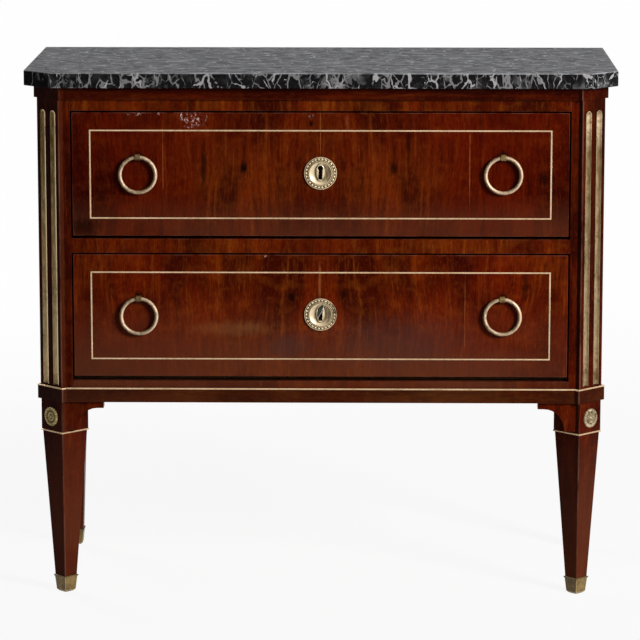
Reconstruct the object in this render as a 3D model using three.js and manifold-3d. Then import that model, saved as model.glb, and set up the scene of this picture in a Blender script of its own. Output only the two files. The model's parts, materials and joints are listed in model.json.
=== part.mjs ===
// A commode chest: two drawers under a marble slab, canted corner posts with brass-lined flutes,
// and tapered legs turned corner-on to the front.
// Millimetres, +Z up, front towards -Y. The origin is on the floor under the middle of the slab.
import * as THREE from "three";
import { mergeVertices } from "three/addons/utils/BufferGeometryUtils.js";
import Module from "manifold-3d";

const wasm = await Module();
wasm.setup();

// Fits
const SEAT = 0.3; // the joint left between two pieces that are fixed to each other
const RUN = 0.4; // between a drawer and the board that it slides on
const OVERRUN = 5; // how far every cutter passes the face that it cuts
const CURVE_STEPS = 14; // straight runs in a curved outline

// Marble slab
const SLAB_WIDTH = 920;
const SLAB_DEPTH = 410;
const SLAB_THICKNESS = 24;
const SLAB_CANT = 42; // cut off each front corner, along X and along Y
const SLAB_ARRIS = 1;

// Where the carcase stands under the slab
const FRONT_SETBACK = 22; // slab edge back to the plane of the drawer fronts
const BACK_SETBACK = 20;
const POST_INSET = 55; // slab end in to the middle of a corner post

// Heights of the carcase, from the floor up
const LEG_HEIGHT = 313;
const BOTTOM_RAIL_HEIGHT = 36;
const BOTTOM_RAIL_DROP = 2.4; // its top below the lower drawer's sill
const OPENING_HEIGHT = 200; // each drawer's opening
const MIDDLE_RAIL_HEIGHT = 22;
const TOP_RAIL_HEIGHT = 18;
const FRIEZE_HEIGHT = 19;

// Corner posts: square timbers turned 45 degrees, with a flat stile beside each
const POST_SIDE = 51;
const POST_PROUD = 6; // the post's arris stands this far in front of the drawer fronts
const STILE_WIDTH = 11.5;

// Legs
const BLOCK_SIDE = 50; // the square block between the carcase and the collar
const BLOCK_HEIGHT = 49;
const LEG_TOP_SIDE = 47.5;
const LEG_FOOT_SIDE = 24; // where the leg enters its foot cap
const LEG_DEEPER = 3.6; // block and leg top, from the canted face back, over their sides
const BACK_LEG_SIDE = 40;
const BACK_LEG_FOOT_SIDE = 24;

// Brass collars and foot caps
const COLLAR_HEIGHT = 2.4;
const COLLAR_PROUD = 2;
const CAP_HEIGHT = 27;
const CAP_FOOT_SIDE = 20.8;
const CAP_WALL = 1.4;
const CAP_FLOOR = 2.5;
const CAP_RIM_HEIGHT = 2.4;
const CAP_PROUD = 0.95; // beyond the leg, at the top
const CAP_RIM_PROUD = 1.8; // beyond the leg too
const CAP_CHAMFER = 3;

// Brass-lined flutes in the canted faces
const FLUTE_WIDTH = 10.5;
const FLUTE_DEPTH = 4.5;
const FLUTE_SPACING = 24;
const FLUTE_HEAD_GAP = 19; // below the frieze
const FLUTE_FOOT_GAP = 2.5; // above the plinth
const LINING = 1;
const FLUTE_STEPS = 20; // facets round a whole flute cutter
const FLUTE_END_STEPS = 4;

// Frieze moulding under the slab, and the plinth with its brass strip
const MOULDING_PROUD = 5.5; // at the front
const MOULDING_CANT_PROUD = 3.4; // at the posts' canted faces
const MOULDING_SIDE_PROUD = 3.1;
const FRIEZE_FRAME = 40; // how far the frame reaches in from the carcase's faces
const PLINTH_HEIGHT = 23;
const STRIP_HEIGHT = 2.4;
const STRIP_DEPTH = 1.8;
const STRIP_PROUD = 0.4;

// Brackets beside the front legs
const BRACKET_REACH = 65; // from the post's middle line to the tip
const BRACKET_TIP_DROP = 10.5;
const BRACKET_FOOT_WIDTH = 23; // from the post's middle line, at the bottom
const BRACKET_FOOT_GAP = 3; // above the collar
const BRACKET_THICKNESS = 20;
const BRACKET_CURVE_STEPS = 8;

// Rosettes on the leg blocks
const ROSETTE_RADIUS = 15.5;
const ROSETTE_HEIGHT = 3.6;
const ROSETTE_DROP = 26.5; // below the carcase
const ROSETTE_STEPS = 32;

// Panels, boards and rails
const SIDE_PANEL = 18;
const BACK_PANEL = 10;
const BACK_PANEL_SETBACK = 0.5;
const BACK_PANEL_LIFT = 3;
const BOARD = 12;
const RAIL_DEPTH = 60;
const BOTTOM_RAIL_DEPTH = 22;
const GUIDE_HEIGHT = 20;
const GUIDE_PLAY = 0.6; // between a drawer's side and its guide
const GUIDE_BACK_GAP = 8; // guide's end to the back leg
const STOP_WIDTH = 50;
const STOP_DEPTH = 14;
const STOP_HEIGHT = 18;
const KICKER_WIDTH = 24;

// Drawers
const FACE_SIDE_GAP = 2.5; // opening's side to the drawer front
const FACE_TOP_GAP = 2.6;
const FACE_FOOT_GAP = 4.6;
const FACE_THICKNESS = 20;
const FACE_ARRIS = 0.8;
const DRAWER_BACK_GAP = 24.5; // drawer's back to the back panel
const DRAWER_SIDE = 10;
const DRAWER_SIDE_DROP = 3; // top of the opening down to the drawer's sides
const DRAWER_BACK = 10;
const DRAWER_BOTTOM = 7;
const DRAWER_BOTTOM_LIFT = 9;
const DRAWER_GROOVE = 4;
const STOP_GAP = 0.5; // drawer's back to its stops

// Brass string let into each drawer front
const STRING_INSET = 28; // face's edge to the middle of the string
const STRING_WIDTH = 2.2;
const STRING_DEPTH = 2;

// Ring pulls
const PULL_INSET = 102; // side of the drawer front in to the middle of a ring
const RING_RADIUS = 27.5; // to the middle of the wire
const RING_WIRE = 3;
const RING_STEPS = 36;
const RING_SIDES = 10;
const PIVOT_OUT = 6.5; // drawer front to the ring's pivot
const EYE_WIDTH = 8;
const EYE_OUTER = 4.9;
const EYE_BORE = 3.7;
const EYE_STEPS = 24;
const SHANK_HEIGHT = 4;
const SHANK_LENGTH = 14; // into the drawer front

// Escutcheon and keyhole
const ESCUTCHEON_RADIUS = 25.5;
const ESCUTCHEON_HEIGHT = 3.8;
const ESCUTCHEON_LIFT = 2.5; // above the middle of the drawer front
const ESCUTCHEON_STEPS = 40;
const KEYHOLE_HEAD = 4;
const KEYHOLE_WAIST = 2.5;
const KEYHOLE_FOOT = 3.8;
const KEYHOLE_LENGTH = 17.3; // middle of the round head to the foot
const KEYHOLE_RISE = 8; // middle of the plate to the middle of the round head
const BOSS_SIDE_WALL = 3.5; // beside the keyhole's round head
const BOSS_END_WALL = 2.9; // above the head and below the foot
const BOSS_HEIGHT = 4.4;

// Locks
const LOCK_WIDTH = 70;
const LOCK_HEIGHT = 60;
const LOCK_DEPTH = 9;
const LOCK_WALL = 1.6;
const LOCK_KEY_SHARE = 0.4; // keyhole's height in the case
const BOLT_WIDTH = 14;
const BOLT_DEPTH = 5;
const BOLT_TAIL = 22; // how much of the bolt stays in the case
const BOLT_SETBACK = 1; // retracted bolt below the drawer front's top edge
const BOLT_THROW = 8;
const BOLT_PLAY = 0.5;

// Planes and levels worked out from the sizes above
const postX = SLAB_WIDTH / 2 - POST_INSET;
const postDiagonal = POST_SIDE / Math.SQRT2;
const frontY = -SLAB_DEPTH / 2 + FRONT_SETBACK;
const backY = SLAB_DEPTH / 2 - BACK_SETBACK;
const postY = frontY - POST_PROUD + postDiagonal;
const postBackY = postY + postDiagonal;
const sideX = postX + postDiagonal - POST_PROUD;
const openingX = postX - POST_PROUD - STILE_WIDTH;
const sidePanelX = sideX - SIDE_PANEL;
const backLegX = sideX - BACK_LEG_SIDE / 2;
const backLegY = backY - BACK_LEG_SIDE / 2;
const backPanelY = backY - BACK_PANEL_SETBACK - BACK_PANEL;
const faceX = openingX - FACE_SIDE_GAP;
const pullX = faceX - PULL_INSET;
const drawerLength = backPanelY - DRAWER_BACK_GAP - frontY;
const boltAxisY = FACE_THICKNESS - LOCK_DEPTH / 2; // behind the plane of the drawer fronts

const lowerSill = LEG_HEIGHT + BOTTOM_RAIL_HEIGHT;
const lowerHead = lowerSill + OPENING_HEIGHT;
const upperSill = lowerHead + MIDDLE_RAIL_HEIGHT;
const upperHead = upperSill + OPENING_HEIGHT;
const friezeZ = upperHead + TOP_RAIL_HEIGHT;
const slabZ = friezeZ + FRIEZE_HEIGHT;
const blockZ = LEG_HEIGHT - BLOCK_HEIGHT;
const plinthZ = LEG_HEIGHT + PLINTH_HEIGHT;

// Materials
const finish = (color, roughness, metalness) =>
  new THREE.MeshStandardMaterial({ color, roughness, metalness });
const mahogany = () => finish(0x5a2408, 0.3, 0);
const pine = () => finish(0xb08a5a, 0.8, 0);
const brass = () => finish(0xb89a68, 0.35, 0.9);
const iron = () => finish(0x4a4640, 0.5, 0.8);
const marble = () => finish(0x55555a, 0.25, 0);

// Solids: three.js geometry in, three.js geometry out, with joins and cuts in between
function solidOf(geometry) {
  const bare = geometry.clone();
  bare.deleteAttribute("normal");
  bare.deleteAttribute("uv");
  const welded = mergeVertices(bare);
  return new wasm.Manifold(
    new wasm.Mesh({
      numProp: 3,
      vertProperties: welded.attributes.position.array,
      triVerts: new Uint32Array(welded.index.array),
    }),
  );
}

function geometryOf(solid) {
  const mesh = solid.getMesh();
  const geometry = new THREE.BufferGeometry();
  geometry.setAttribute("position", new THREE.BufferAttribute(mesh.vertProperties, 3));
  geometry.setIndex(new THREE.BufferAttribute(mesh.triVerts, 1));
  geometry.computeVertexNormals();
  return geometry;
}

const join = (first, ...others) =>
  geometryOf(others.reduce((whole, other) => whole.add(solidOf(other)), solidOf(first)));
const cut = (first, ...cutters) =>
  geometryOf(cutters.reduce((rest, cutter) => rest.subtract(solidOf(cutter)), solidOf(first)));
const common = (first, second) => geometryOf(solidOf(first).intersect(solidOf(second)));

// A box between two corners
function block(from, to) {
  const box = new THREE.BoxGeometry();
  const places = box.attributes.position;
  for (let i = 0; i < places.count; i += 1) {
    for (let axis = 0; axis < 3; axis += 1) {
      const ends = [Math.min(from[axis], to[axis]), Math.max(from[axis], to[axis])];
      places.setComponent(i, axis, places.getComponent(i, axis) > 0 ? ends[1] : ends[0]);
    }
  }
  return box;
}

// Moves the two ends of a form that is 1 long to two levels
function stretch(form, z0, z1) {
  const places = form.attributes.position;
  for (let i = 0; i < places.count; i += 1) {
    places.setZ(i, places.getZ(i) > 0 ? z1 : z0);
  }
  return form;
}

const shapeOf = (points) => new THREE.Shape(points.map(([x, y]) => new THREE.Vector2(x, y)));
const straight = (shape) =>
  new THREE.ExtrudeGeometry(shape, { depth: 1, bevelEnabled: false, curveSegments: CURVE_STEPS });

// An outline in plan (x, y), standing from one level to another
const rise = (shape, z0, z1) => stretch(straight(shape), z0, z1);

// An outline seen from the front (x, z), reaching from y0 back to y1
const reach = (shape, y0, y1) => stretch(straight(shape), -y1, -y0).rotateX(Math.PI / 2);

// A square timber that tapers, on the Z axis; its sides lie at 45 degrees unless it is squared up
function taper(topSide, footSide, z0, z1, squared) {
  const timber = new THREE.CylinderGeometry(topSide / Math.SQRT2, footSide / Math.SQRT2, 1, 4);
  timber.rotateX(Math.PI / 2);
  if (squared) timber.rotateZ(Math.PI / 4);
  return stretch(timber, z0, z1);
}

// Moves a front leg's faces that look away from its canted face back, at the level `z` and above
function deepen(form, side, z) {
  const places = form.attributes.position;
  const step = LEG_DEEPER / Math.SQRT2;
  for (let i = 0; i < places.count; i += 1) {
    const behind = places.getY(i) - side * places.getX(i) > SEAT;
    if (behind && places.getZ(i) >= z) {
      places.setXY(i, places.getX(i) - side * step, places.getY(i) + step);
    }
  }
  return form;
}

// A turned piece that stands out towards the front; its profile (radius, height) runs from the
// middle of its back, round its edge, to the middle of its face
function turned(profile, steps) {
  const points = profile.map(([radius, height]) => new THREE.Vector2(radius, height));
  return new THREE.LatheGeometry(points, steps).rotateX(Math.PI);
}

const chest = new THREE.Group();

// Adds a named piece to a group
function piece(parent, name, geometry, material, place = [0, 0, 0]) {
  const mesh = new THREE.Mesh(geometry, material);
  mesh.name = name;
  mesh.position.set(...place);
  parent.add(mesh);
  return mesh;
}

function groupAt(parent, place, turn = 0) {
  const group = new THREE.Group();
  group.position.set(...place);
  group.rotation.z = turn;
  parent.add(group);
  return group;
}

// The carcase's plan from the left back, round the front, to the right back: front, return
// facet, canted face, second facet and side at each corner. The front and its facets, the canted
// faces, and the sides and their facets each move outwards by their own length.
function carcasePlan([front, cant, side]) {
  const facetSum = postX + postY - postDiagonal - front * Math.SQRT2;
  const cantDifference = postX - postY + postDiagonal + cant * Math.SQRT2;
  const sideSum = postX + postY + postDiagonal + side * Math.SQRT2;
  const right = [
    [facetSum - (frontY - front), frontY - front],
    [(facetSum + cantDifference) / 2, (facetSum - cantDifference) / 2],
    [(sideSum + cantDifference) / 2, (sideSum - cantDifference) / 2],
    [sideX + side, sideSum - (sideX + side)],
    [sideX + side, backY],
  ];
  const left = right.map(([x, y]) => [-x, y]).reverse();
  return [...left, ...right];
}

// How far the mouldings, or a face that lies `more` outside theirs, stand out of the carcase
const mouldingOut = (more) =>
  [MOULDING_PROUD, MOULDING_CANT_PROUD, MOULDING_SIDE_PROUD].map((out) => out + more);
const seatOut = [SEAT, SEAT, SEAT];

// A band that follows the carcase's front and sides
function band(outer, inner, z0, z1) {
  const shape = shapeOf([...carcasePlan(outer), ...carcasePlan(inner).reverse()]);
  return rise(shape, z0, z1);
}

// Slab
function slabGeometry() {
  const x = SLAB_WIDTH / 2;
  const y = SLAB_DEPTH / 2;
  const shape = shapeOf([
    [-x, y],
    [-x, -y + SLAB_CANT],
    [-x + SLAB_CANT, -y],
    [x - SLAB_CANT, -y],
    [x, -y + SLAB_CANT],
    [x, y],
  ]);
  const slab = new THREE.ExtrudeGeometry(shape, {
    depth: SLAB_THICKNESS - SLAB_ARRIS - SLAB_ARRIS,
    bevelThickness: SLAB_ARRIS,
    bevelSize: SLAB_ARRIS,
    bevelOffset: -SLAB_ARRIS,
    bevelSegments: 1,
  });
  return slab.translate(0, 0, SLAB_ARRIS);
}
piece(chest, "marble_top", slabGeometry(), marble(), [0, 0, slabZ]);

// Frieze moulding: a frame under the slab, open at the back
function friezeGeometry() {
  const x = sideX - FRIEZE_FRAME;
  const y = frontY + FRIEZE_FRAME;
  const inner = [
    [x, backY],
    [x, y],
    [-x, y],
    [-x, backY],
  ];
  return rise(shapeOf([...carcasePlan(mouldingOut(0)), ...inner]), friezeZ, slabZ - SEAT);
}
piece(chest, "frieze_moulding", friezeGeometry(), mahogany());

// Plinth: a facing round the foot of the carcase, with a rebate for the brass strip on its edge
function plinthGeometry() {
  const rebateZ = plinthZ - STRIP_HEIGHT - SEAT;
  const ledge = mouldingOut(STRIP_PROUD - STRIP_DEPTH - SEAT);
  const foot = band(mouldingOut(0), seatOut, LEG_HEIGHT, rebateZ);
  return join(foot, band(ledge, seatOut, rebateZ, plinthZ));
}
piece(chest, "plinth_moulding", plinthGeometry(), mahogany());

const stripGeometry = band(
  mouldingOut(STRIP_PROUD),
  mouldingOut(STRIP_PROUD - STRIP_DEPTH),
  plinthZ - STRIP_HEIGHT,
  plinthZ,
);
piece(chest, "plinth_brass_strip", stripGeometry, brass());

// Flutes, in the frame of a canted face: x across it, -y out of it, the face at y = 0
const fluteRadius = (FLUTE_DEPTH ** 2 + (FLUTE_WIDTH / 2) ** 2) / (2 * FLUTE_DEPTH);
const fluteAxisY = FLUTE_DEPTH - fluteRadius;
const fluteFootZ = plinthZ + FLUTE_FOOT_GAP;
const fluteHeadZ = friezeZ - FLUTE_HEAD_GAP;

// A round bar with a domed head, larger than the flute all round by `grow`
function fluteBar(x, grow, footZ) {
  const radius = fluteRadius + grow;
  const domeZ = fluteHeadZ - fluteRadius;
  const profile = [new THREE.Vector2(0, footZ), new THREE.Vector2(radius, footZ)];
  for (let i = 0; i < FLUTE_END_STEPS; i += 1) {
    const angle = (i / FLUTE_END_STEPS) * (Math.PI / 2);
    profile.push(new THREE.Vector2(radius * Math.cos(angle), domeZ + radius * Math.sin(angle)));
  }
  profile.push(new THREE.Vector2(0, domeZ + radius));
  const bar = new THREE.LatheGeometry(profile, FLUTE_STEPS).rotateX(Math.PI / 2);
  return bar.translate(x, fluteAxisY, 0);
}

const fluteXs = [-FLUTE_SPACING / 2, FLUTE_SPACING / 2];

function liningGeometry(x) {
  const behindFace = block(
    [x - FLUTE_WIDTH, 0, fluteFootZ - OVERRUN],
    [x + FLUTE_WIDTH, FLUTE_DEPTH + OVERRUN, fluteHeadZ + OVERRUN],
  );
  const shell = cut(fluteBar(x, LINING, fluteFootZ), fluteBar(x, 0, fluteFootZ - OVERRUN));
  return common(shell, behindFace);
}

// Foot cap, on the Z axis
const capTaperSide = (side, z) => CAP_FOOT_SIDE + ((side - CAP_FOOT_SIDE) * z) / CAP_HEIGHT;

function capGeometry(footSide, squared) {
  const bodySide = footSide + 2 * CAP_PROUD;
  const rimSide = footSide + 2 * CAP_RIM_PROUD;
  const hollowTop = footSide - 2 * CAP_WALL;
  const hollowFoot = capTaperSide(footSide, CAP_FLOOR) - 2 * CAP_WALL;
  const chamferSide = CAP_FOOT_SIDE - 2 * CAP_CHAMFER;
  const cup = join(
    taper(bodySide, capTaperSide(bodySide, CAP_CHAMFER), CAP_CHAMFER, CAP_HEIGHT, squared),
    taper(capTaperSide(bodySide, CAP_CHAMFER), chamferSide, 0, CAP_CHAMFER, squared),
    taper(rimSide, rimSide, CAP_HEIGHT - CAP_RIM_HEIGHT, CAP_HEIGHT, squared),
  );
  const slope = (hollowTop - hollowFoot) / (CAP_HEIGHT - CAP_FLOOR);
  const overTop = hollowTop + slope * OVERRUN;
  return cut(cup, taper(overTop, hollowFoot, CAP_FLOOR, CAP_HEIGHT + OVERRUN, squared));
}

// The foot of a leg's timber that fills the cap; it starts inside the leg above
function tenonGeometry(footSide, squared) {
  const play = 2 * (CAP_WALL + SEAT);
  const footZ = CAP_FLOOR + SEAT;
  const topZ = CAP_HEIGHT + OVERRUN;
  const sideAt = (z) => capTaperSide(footSide, z) - play;
  return taper(sideAt(topZ), sideAt(footZ), footZ, topZ, squared);
}

// Collar: a square brass band round the top of a leg; `fit` gives it the leg's own plan
function collarGeometry(legSide, squared, fit = (form) => form) {
  const outer = legSide + 2 * COLLAR_PROUD;
  const inner = legSide + 2 * SEAT;
  const low = blockZ - COLLAR_HEIGHT - SEAT;
  const high = blockZ - SEAT;
  return cut(
    fit(taper(outer, outer, low, high, squared)),
    fit(taper(inner, inner, low - OVERRUN, high + OVERRUN, squared)),
  );
}

// Front leg and corner post: one timber from the foot cap to the frieze, in the post's own frame
function frontLegGeometry(side) {
  const inside = side * (openingX - postX);
  const outside = side * (sideX - postX);
  const facetX = -side * POST_PROUD;
  const front = frontY - postY;
  const upper = shapeOf([
    [inside, front],
    [facetX, front],
    [0, -postDiagonal],
    [side * postDiagonal, 0],
    [outside, POST_PROUD],
    [outside, postDiagonal],
    [inside, postDiagonal],
  ]);
  const timber = join(
    rise(upper, LEG_HEIGHT, friezeZ - SEAT),
    deepen(taper(BLOCK_SIDE, BLOCK_SIDE, blockZ, LEG_HEIGHT), side, blockZ),
    deepen(taper(LEG_TOP_SIDE, LEG_FOOT_SIDE, CAP_HEIGHT + SEAT, blockZ), side, blockZ),
    tenonGeometry(LEG_FOOT_SIDE),
  );
  const grooves = fluteXs.map((x) =>
    fluteBar(x, LINING + SEAT, fluteFootZ - SEAT)
      .translate(0, -POST_SIDE / 2, 0)
      .rotateZ((side * Math.PI) / 4),
  );
  return cut(timber, ...grooves);
}

// Rosette: a turned boss within rings; radius and height as shares of the whole
const rosetteShares = [
  [0, 0],
  [1, 0],
  [1, 0.3],
  [0.96, 0.7],
  [0.86, 0.96],
  [0.76, 0.82],
  [0.68, 0.36],
  [0.6, 0.38],
  [0.52, 0.8],
  [0.44, 0.78],
  [0.36, 0.42],
  [0.26, 0.4],
  [0.19, 0.62],
  [0.1, 0.96],
  [0, 1],
];
const rosetteProfile = rosetteShares.map(([r, h]) => [r * ROSETTE_RADIUS, h * ROSETTE_HEIGHT]);

// Bracket beside a front leg, seen from the front, in the post's frame
function bracketGeometry(side) {
  const footZ = blockZ + BRACKET_FOOT_GAP;
  const topZ = LEG_HEIGHT - SEAT;
  const tipZ = LEG_HEIGHT - BRACKET_TIP_DROP;
  const curveReach = BRACKET_REACH - BRACKET_TIP_DROP - BRACKET_FOOT_WIDTH;
  const outline = [
    [0, topZ],
    [0, footZ],
    [BRACKET_FOOT_WIDTH, footZ],
  ];
  for (let i = 1; i <= BRACKET_CURVE_STEPS; i += 1) {
    const angle = (i / BRACKET_CURVE_STEPS) * (Math.PI / 2);
    const x = BRACKET_FOOT_WIDTH + curveReach * (1 - Math.cos(angle));
    outline.push([x, footZ + (tipZ - footZ) * Math.sin(angle)]);
  }
  outline.push([BRACKET_REACH, tipZ], [BRACKET_REACH, topZ]);
  const front = frontY - postY;
  const face = reach(
    shapeOf(outline.map(([x, z]) => [-side * x, z])),
    front,
    front + BRACKET_THICKNESS,
  );
  const blockSide = BLOCK_SIDE + 2 * SEAT;
  return cut(face, taper(blockSide, blockSide, footZ - OVERRUN, LEG_HEIGHT + OVERRUN));
}

// Everything at one front corner
function frontCorner(side, name) {
  const corner = groupAt(chest, [side * postX, postY, 0]);
  piece(corner, "front_leg_" + name, frontLegGeometry(side), mahogany());
  piece(corner, "bracket_" + name, bracketGeometry(side), mahogany());
  const collar = collarGeometry(LEG_TOP_SIDE, false, (form) => deepen(form, side, 0));
  piece(corner, "collar_front_" + name, collar, brass());
  piece(corner, "foot_cap_front_" + name, capGeometry(LEG_FOOT_SIDE), brass());

  const turn = (side * Math.PI) / 4;
  const face = groupAt(corner, [0, 0, 0], turn);
  fluteXs.forEach((x) => {
    const which = x * side > 0 ? "outer" : "inner";
    const lining = liningGeometry(x);
    piece(face, "flute_lining_" + name + "_" + which, lining, brass(), [0, -POST_SIDE / 2, 0]);
  });
  const rosette = turned(rosetteProfile, ROSETTE_STEPS);
  const rosettePlace = [0, -BLOCK_SIDE / 2 - SEAT, LEG_HEIGHT - ROSETTE_DROP];
  piece(face, "rosette_" + name, rosette, brass(), rosettePlace);
}
frontCorner(-1, "left");
frontCorner(1, "right");

// Back legs: square timbers that are also the carcase's back posts
function backCorner(side, name) {
  const corner = groupAt(chest, [side * backLegX, backLegY, 0]);
  const timber = join(
    taper(BACK_LEG_SIDE, BACK_LEG_SIDE, blockZ, friezeZ - SEAT, true),
    taper(BACK_LEG_SIDE, BACK_LEG_FOOT_SIDE, CAP_HEIGHT + SEAT, blockZ, true),
    tenonGeometry(BACK_LEG_FOOT_SIDE, true),
  );
  piece(corner, "back_leg_" + name, timber, mahogany());
  piece(corner, "collar_back_" + name, collarGeometry(BACK_LEG_SIDE, true), brass());
  piece(corner, "foot_cap_back_" + name, capGeometry(BACK_LEG_FOOT_SIDE, true), brass());
}
backCorner(-1, "left");
backCorner(1, "right");

// Side panels between the posts and the back legs
function sidePanel(side, name) {
  const panel = block(
    [side * sidePanelX, postBackY + SEAT, LEG_HEIGHT],
    [side * sideX, backY - BACK_LEG_SIDE - SEAT, friezeZ - SEAT],
  );
  piece(chest, "side_panel_" + name, panel, mahogany());
}
sidePanel(-1, "left");
sidePanel(1, "right");

// Back panel between the back legs
const backPanelX = backLegX - BACK_LEG_SIDE / 2 - SEAT;
const backPanelGeometry = block(
  [-backPanelX, backPanelY, LEG_HEIGHT + BACK_PANEL_LIFT],
  [backPanelX, backY - BACK_PANEL_SETBACK, friezeZ - SEAT],
);
piece(chest, "back_panel", backPanelGeometry, pine());

// The space that a bolt needs, `play` larger than it is all round; y from the drawer fronts
function boltSpace(play, z0, z1) {
  const wide = BOLT_WIDTH / 2 + play;
  const deep = BOLT_DEPTH / 2 + play;
  return block([-wide, boltAxisY - deep, z0], [wide, boltAxisY + deep, z1]);
}

// Rails across the front. A lock's bolt rises into a mortise in the rail above each drawer.
function rail(name, z0, z1, depth, mortised) {
  const x = openingX - SEAT;
  const timber = block([-x, 0, z0], [x, depth, z1 - SEAT]);
  const mortise = boltSpace(BOLT_PLAY, z0 - OVERRUN, z0 + BOLT_THROW);
  const shape = mortised ? cut(timber, mortise) : timber;
  piece(chest, name, shape, mahogany(), [0, frontY, 0]);
}
rail("top_rail", upperHead, friezeZ, RAIL_DEPTH, true);
rail("middle_rail", lowerHead, upperSill + SEAT, RAIL_DEPTH, true);
rail("bottom_rail", LEG_HEIGHT, lowerSill - BOTTOM_RAIL_DROP, BOTTOM_RAIL_DEPTH, false);

// Boards that the drawers slide on, notched round the posts and back legs, with a guide beside
// each drawer side and stops behind its back. Kickers under the board above a drawer keep it
// level when it is open.
function kickers(footZ, headZ) {
  const kickerEnd = backY - BACK_LEG_SIDE - GUIDE_BACK_GAP;
  return [-1, 1].map((side) =>
    block(
      [side * (faceX - KICKER_WIDTH), frontY + RAIL_DEPTH + SEAT, footZ],
      [side * faceX, kickerEnd, headZ],
    ),
  );
}

function drawerBoard(name, sill, startY, strips) {
  const postNotchX = openingX - SEAT;
  const postNotchY = postBackY + SEAT;
  const legNotchY = backY - BACK_LEG_SIDE - SEAT;
  const wideX = sidePanelX - SEAT;
  const endY = backPanelY - SEAT;
  const right = [
    [postNotchX, startY],
    [postNotchX, postNotchY],
    [wideX, postNotchY],
    [wideX, legNotchY],
    [backPanelX, legNotchY],
    [backPanelX, endY],
  ];
  const left = right.map(([x, y]) => [-x, y]).reverse();
  const guideX = faceX + GUIDE_PLAY;
  const guideEnd = legNotchY - GUIDE_BACK_GAP;
  const stopY = frontY + drawerLength + STOP_GAP;
  [-1, 1].forEach((side) => {
    strips.push(
      block([side * guideX, postNotchY, sill - SEAT], [side * wideX, guideEnd, sill + GUIDE_HEIGHT]),
      block(
        [side * faceX, stopY, sill - SEAT],
        [side * (faceX - STOP_WIDTH), stopY + STOP_DEPTH, sill + STOP_HEIGHT],
      ),
    );
  });
  const board = join(rise(shapeOf([...left, ...right]), sill - BOARD, sill), ...strips);
  piece(chest, name, board, pine());
}
drawerBoard(
  "dust_board",
  upperSill,
  frontY + RAIL_DEPTH + SEAT,
  kickers(lowerHead, upperSill - BOARD + SEAT),
);
drawerBoard("bottom_board", lowerSill, frontY + BOTTOM_RAIL_DEPTH + SEAT, []);

// Top board inside the frieze
function topBoardGeometry() {
  const x = sideX - FRIEZE_FRAME - SEAT;
  const y0 = frontY + FRIEZE_FRAME + SEAT;
  const board = block([-x, y0, friezeZ], [x, backY, slabZ - SEAT]);
  return join(board, ...kickers(upperHead, friezeZ + SEAT));
}
piece(chest, "top_board", topBoardGeometry(), pine());

// Keyhole outline round the middle of its round head
function keyholeShape() {
  const lean = Math.asin(KEYHOLE_WAIST / KEYHOLE_HEAD);
  const shape = new THREE.Shape();
  shape.moveTo(KEYHOLE_FOOT, -KEYHOLE_LENGTH);
  shape.absarc(0, 0, KEYHOLE_HEAD, -Math.PI / 2 + lean, (3 * Math.PI) / 2 - lean, false);
  shape.lineTo(-KEYHOLE_FOOT, -KEYHOLE_LENGTH);
  shape.closePath();
  return shape;
}

// Oval boss round the keyhole
function bossShape() {
  const middle = (KEYHOLE_HEAD - KEYHOLE_LENGTH) / 2;
  const halfHeight = (KEYHOLE_HEAD + KEYHOLE_LENGTH) / 2 + BOSS_END_WALL;
  const halfWidth = KEYHOLE_HEAD + BOSS_SIDE_WALL;
  return new THREE.Shape().absellipse(0, middle, halfWidth, halfHeight, 0, 2 * Math.PI);
}

// Escutcheon: a turned plate with a beaded rim, a dish and a raised keyhole; shares as above
const escutcheonShares = [
  [0, 0],
  [1, 0],
  [1, 0.4],
  [0.98, 0.76],
  [0.93, 1],
  [0.88, 0.94],
  [0.83, 0.52],
  [0.78, 0.5],
  [0.73, 0.84],
  [0.68, 0.74],
  [0.56, 0.5],
  [0.34, 0.34],
  [0, 0.34],
];
const escutcheonProfile = escutcheonShares.map(([r, h]) => [
  r * ESCUTCHEON_RADIUS,
  h * ESCUTCHEON_HEIGHT,
]);

function escutcheonGeometry() {
  const plate = turned(escutcheonProfile, ESCUTCHEON_STEPS);
  const boss = reach(bossShape(), -BOSS_HEIGHT, 0);
  const hole = reach(keyholeShape(), -BOSS_HEIGHT - OVERRUN, OVERRUN);
  return cut(join(plate, boss.translate(0, 0, KEYHOLE_RISE)), hole.translate(0, 0, KEYHOLE_RISE));
}

// A drawer's own frame: x from its middle, y from the plane of its face, z from the sill
const faceFootZ = FACE_FOOT_GAP;
const faceHeadZ = OPENING_HEIGHT - FACE_TOP_GAP;
const faceMiddleZ = (faceFootZ + faceHeadZ) / 2;
const escutcheonZ = faceMiddleZ + ESCUTCHEON_LIFT;
const keyholeZ = escutcheonZ + KEYHOLE_RISE;
const pivotZ = faceMiddleZ + RING_RADIUS;
const lockY = FACE_THICKNESS - LOCK_DEPTH;
const lockFootZ = keyholeZ - LOCK_KEY_SHARE * LOCK_HEIGHT;
const lockHeadZ = lockFootZ + LOCK_HEIGHT;
const boltHeadZ = faceHeadZ - BOLT_SETBACK;
const boltFootZ = lockHeadZ - BOLT_TAIL;
const drawerSideTopZ = OPENING_HEIGHT - DRAWER_SIDE_DROP;
const drawerBottomZ = RUN + DRAWER_BOTTOM_LIFT;

// A frame of string: a rectangle with a rectangle out of its middle
function stringFrame(grow, y0, y1) {
  const rectangle = (inset) => {
    const x = faceX - inset;
    return [
      [-x, faceFootZ + inset],
      [x, faceFootZ + inset],
      [x, faceHeadZ - inset],
      [-x, faceHeadZ - inset],
    ];
  };
  const half = STRING_WIDTH / 2 + grow;
  const shape = shapeOf(rectangle(STRING_INSET - half));
  shape.holes.push(shapeOf(rectangle(STRING_INSET + half)));
  return reach(shape, y0, y1);
}

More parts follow.
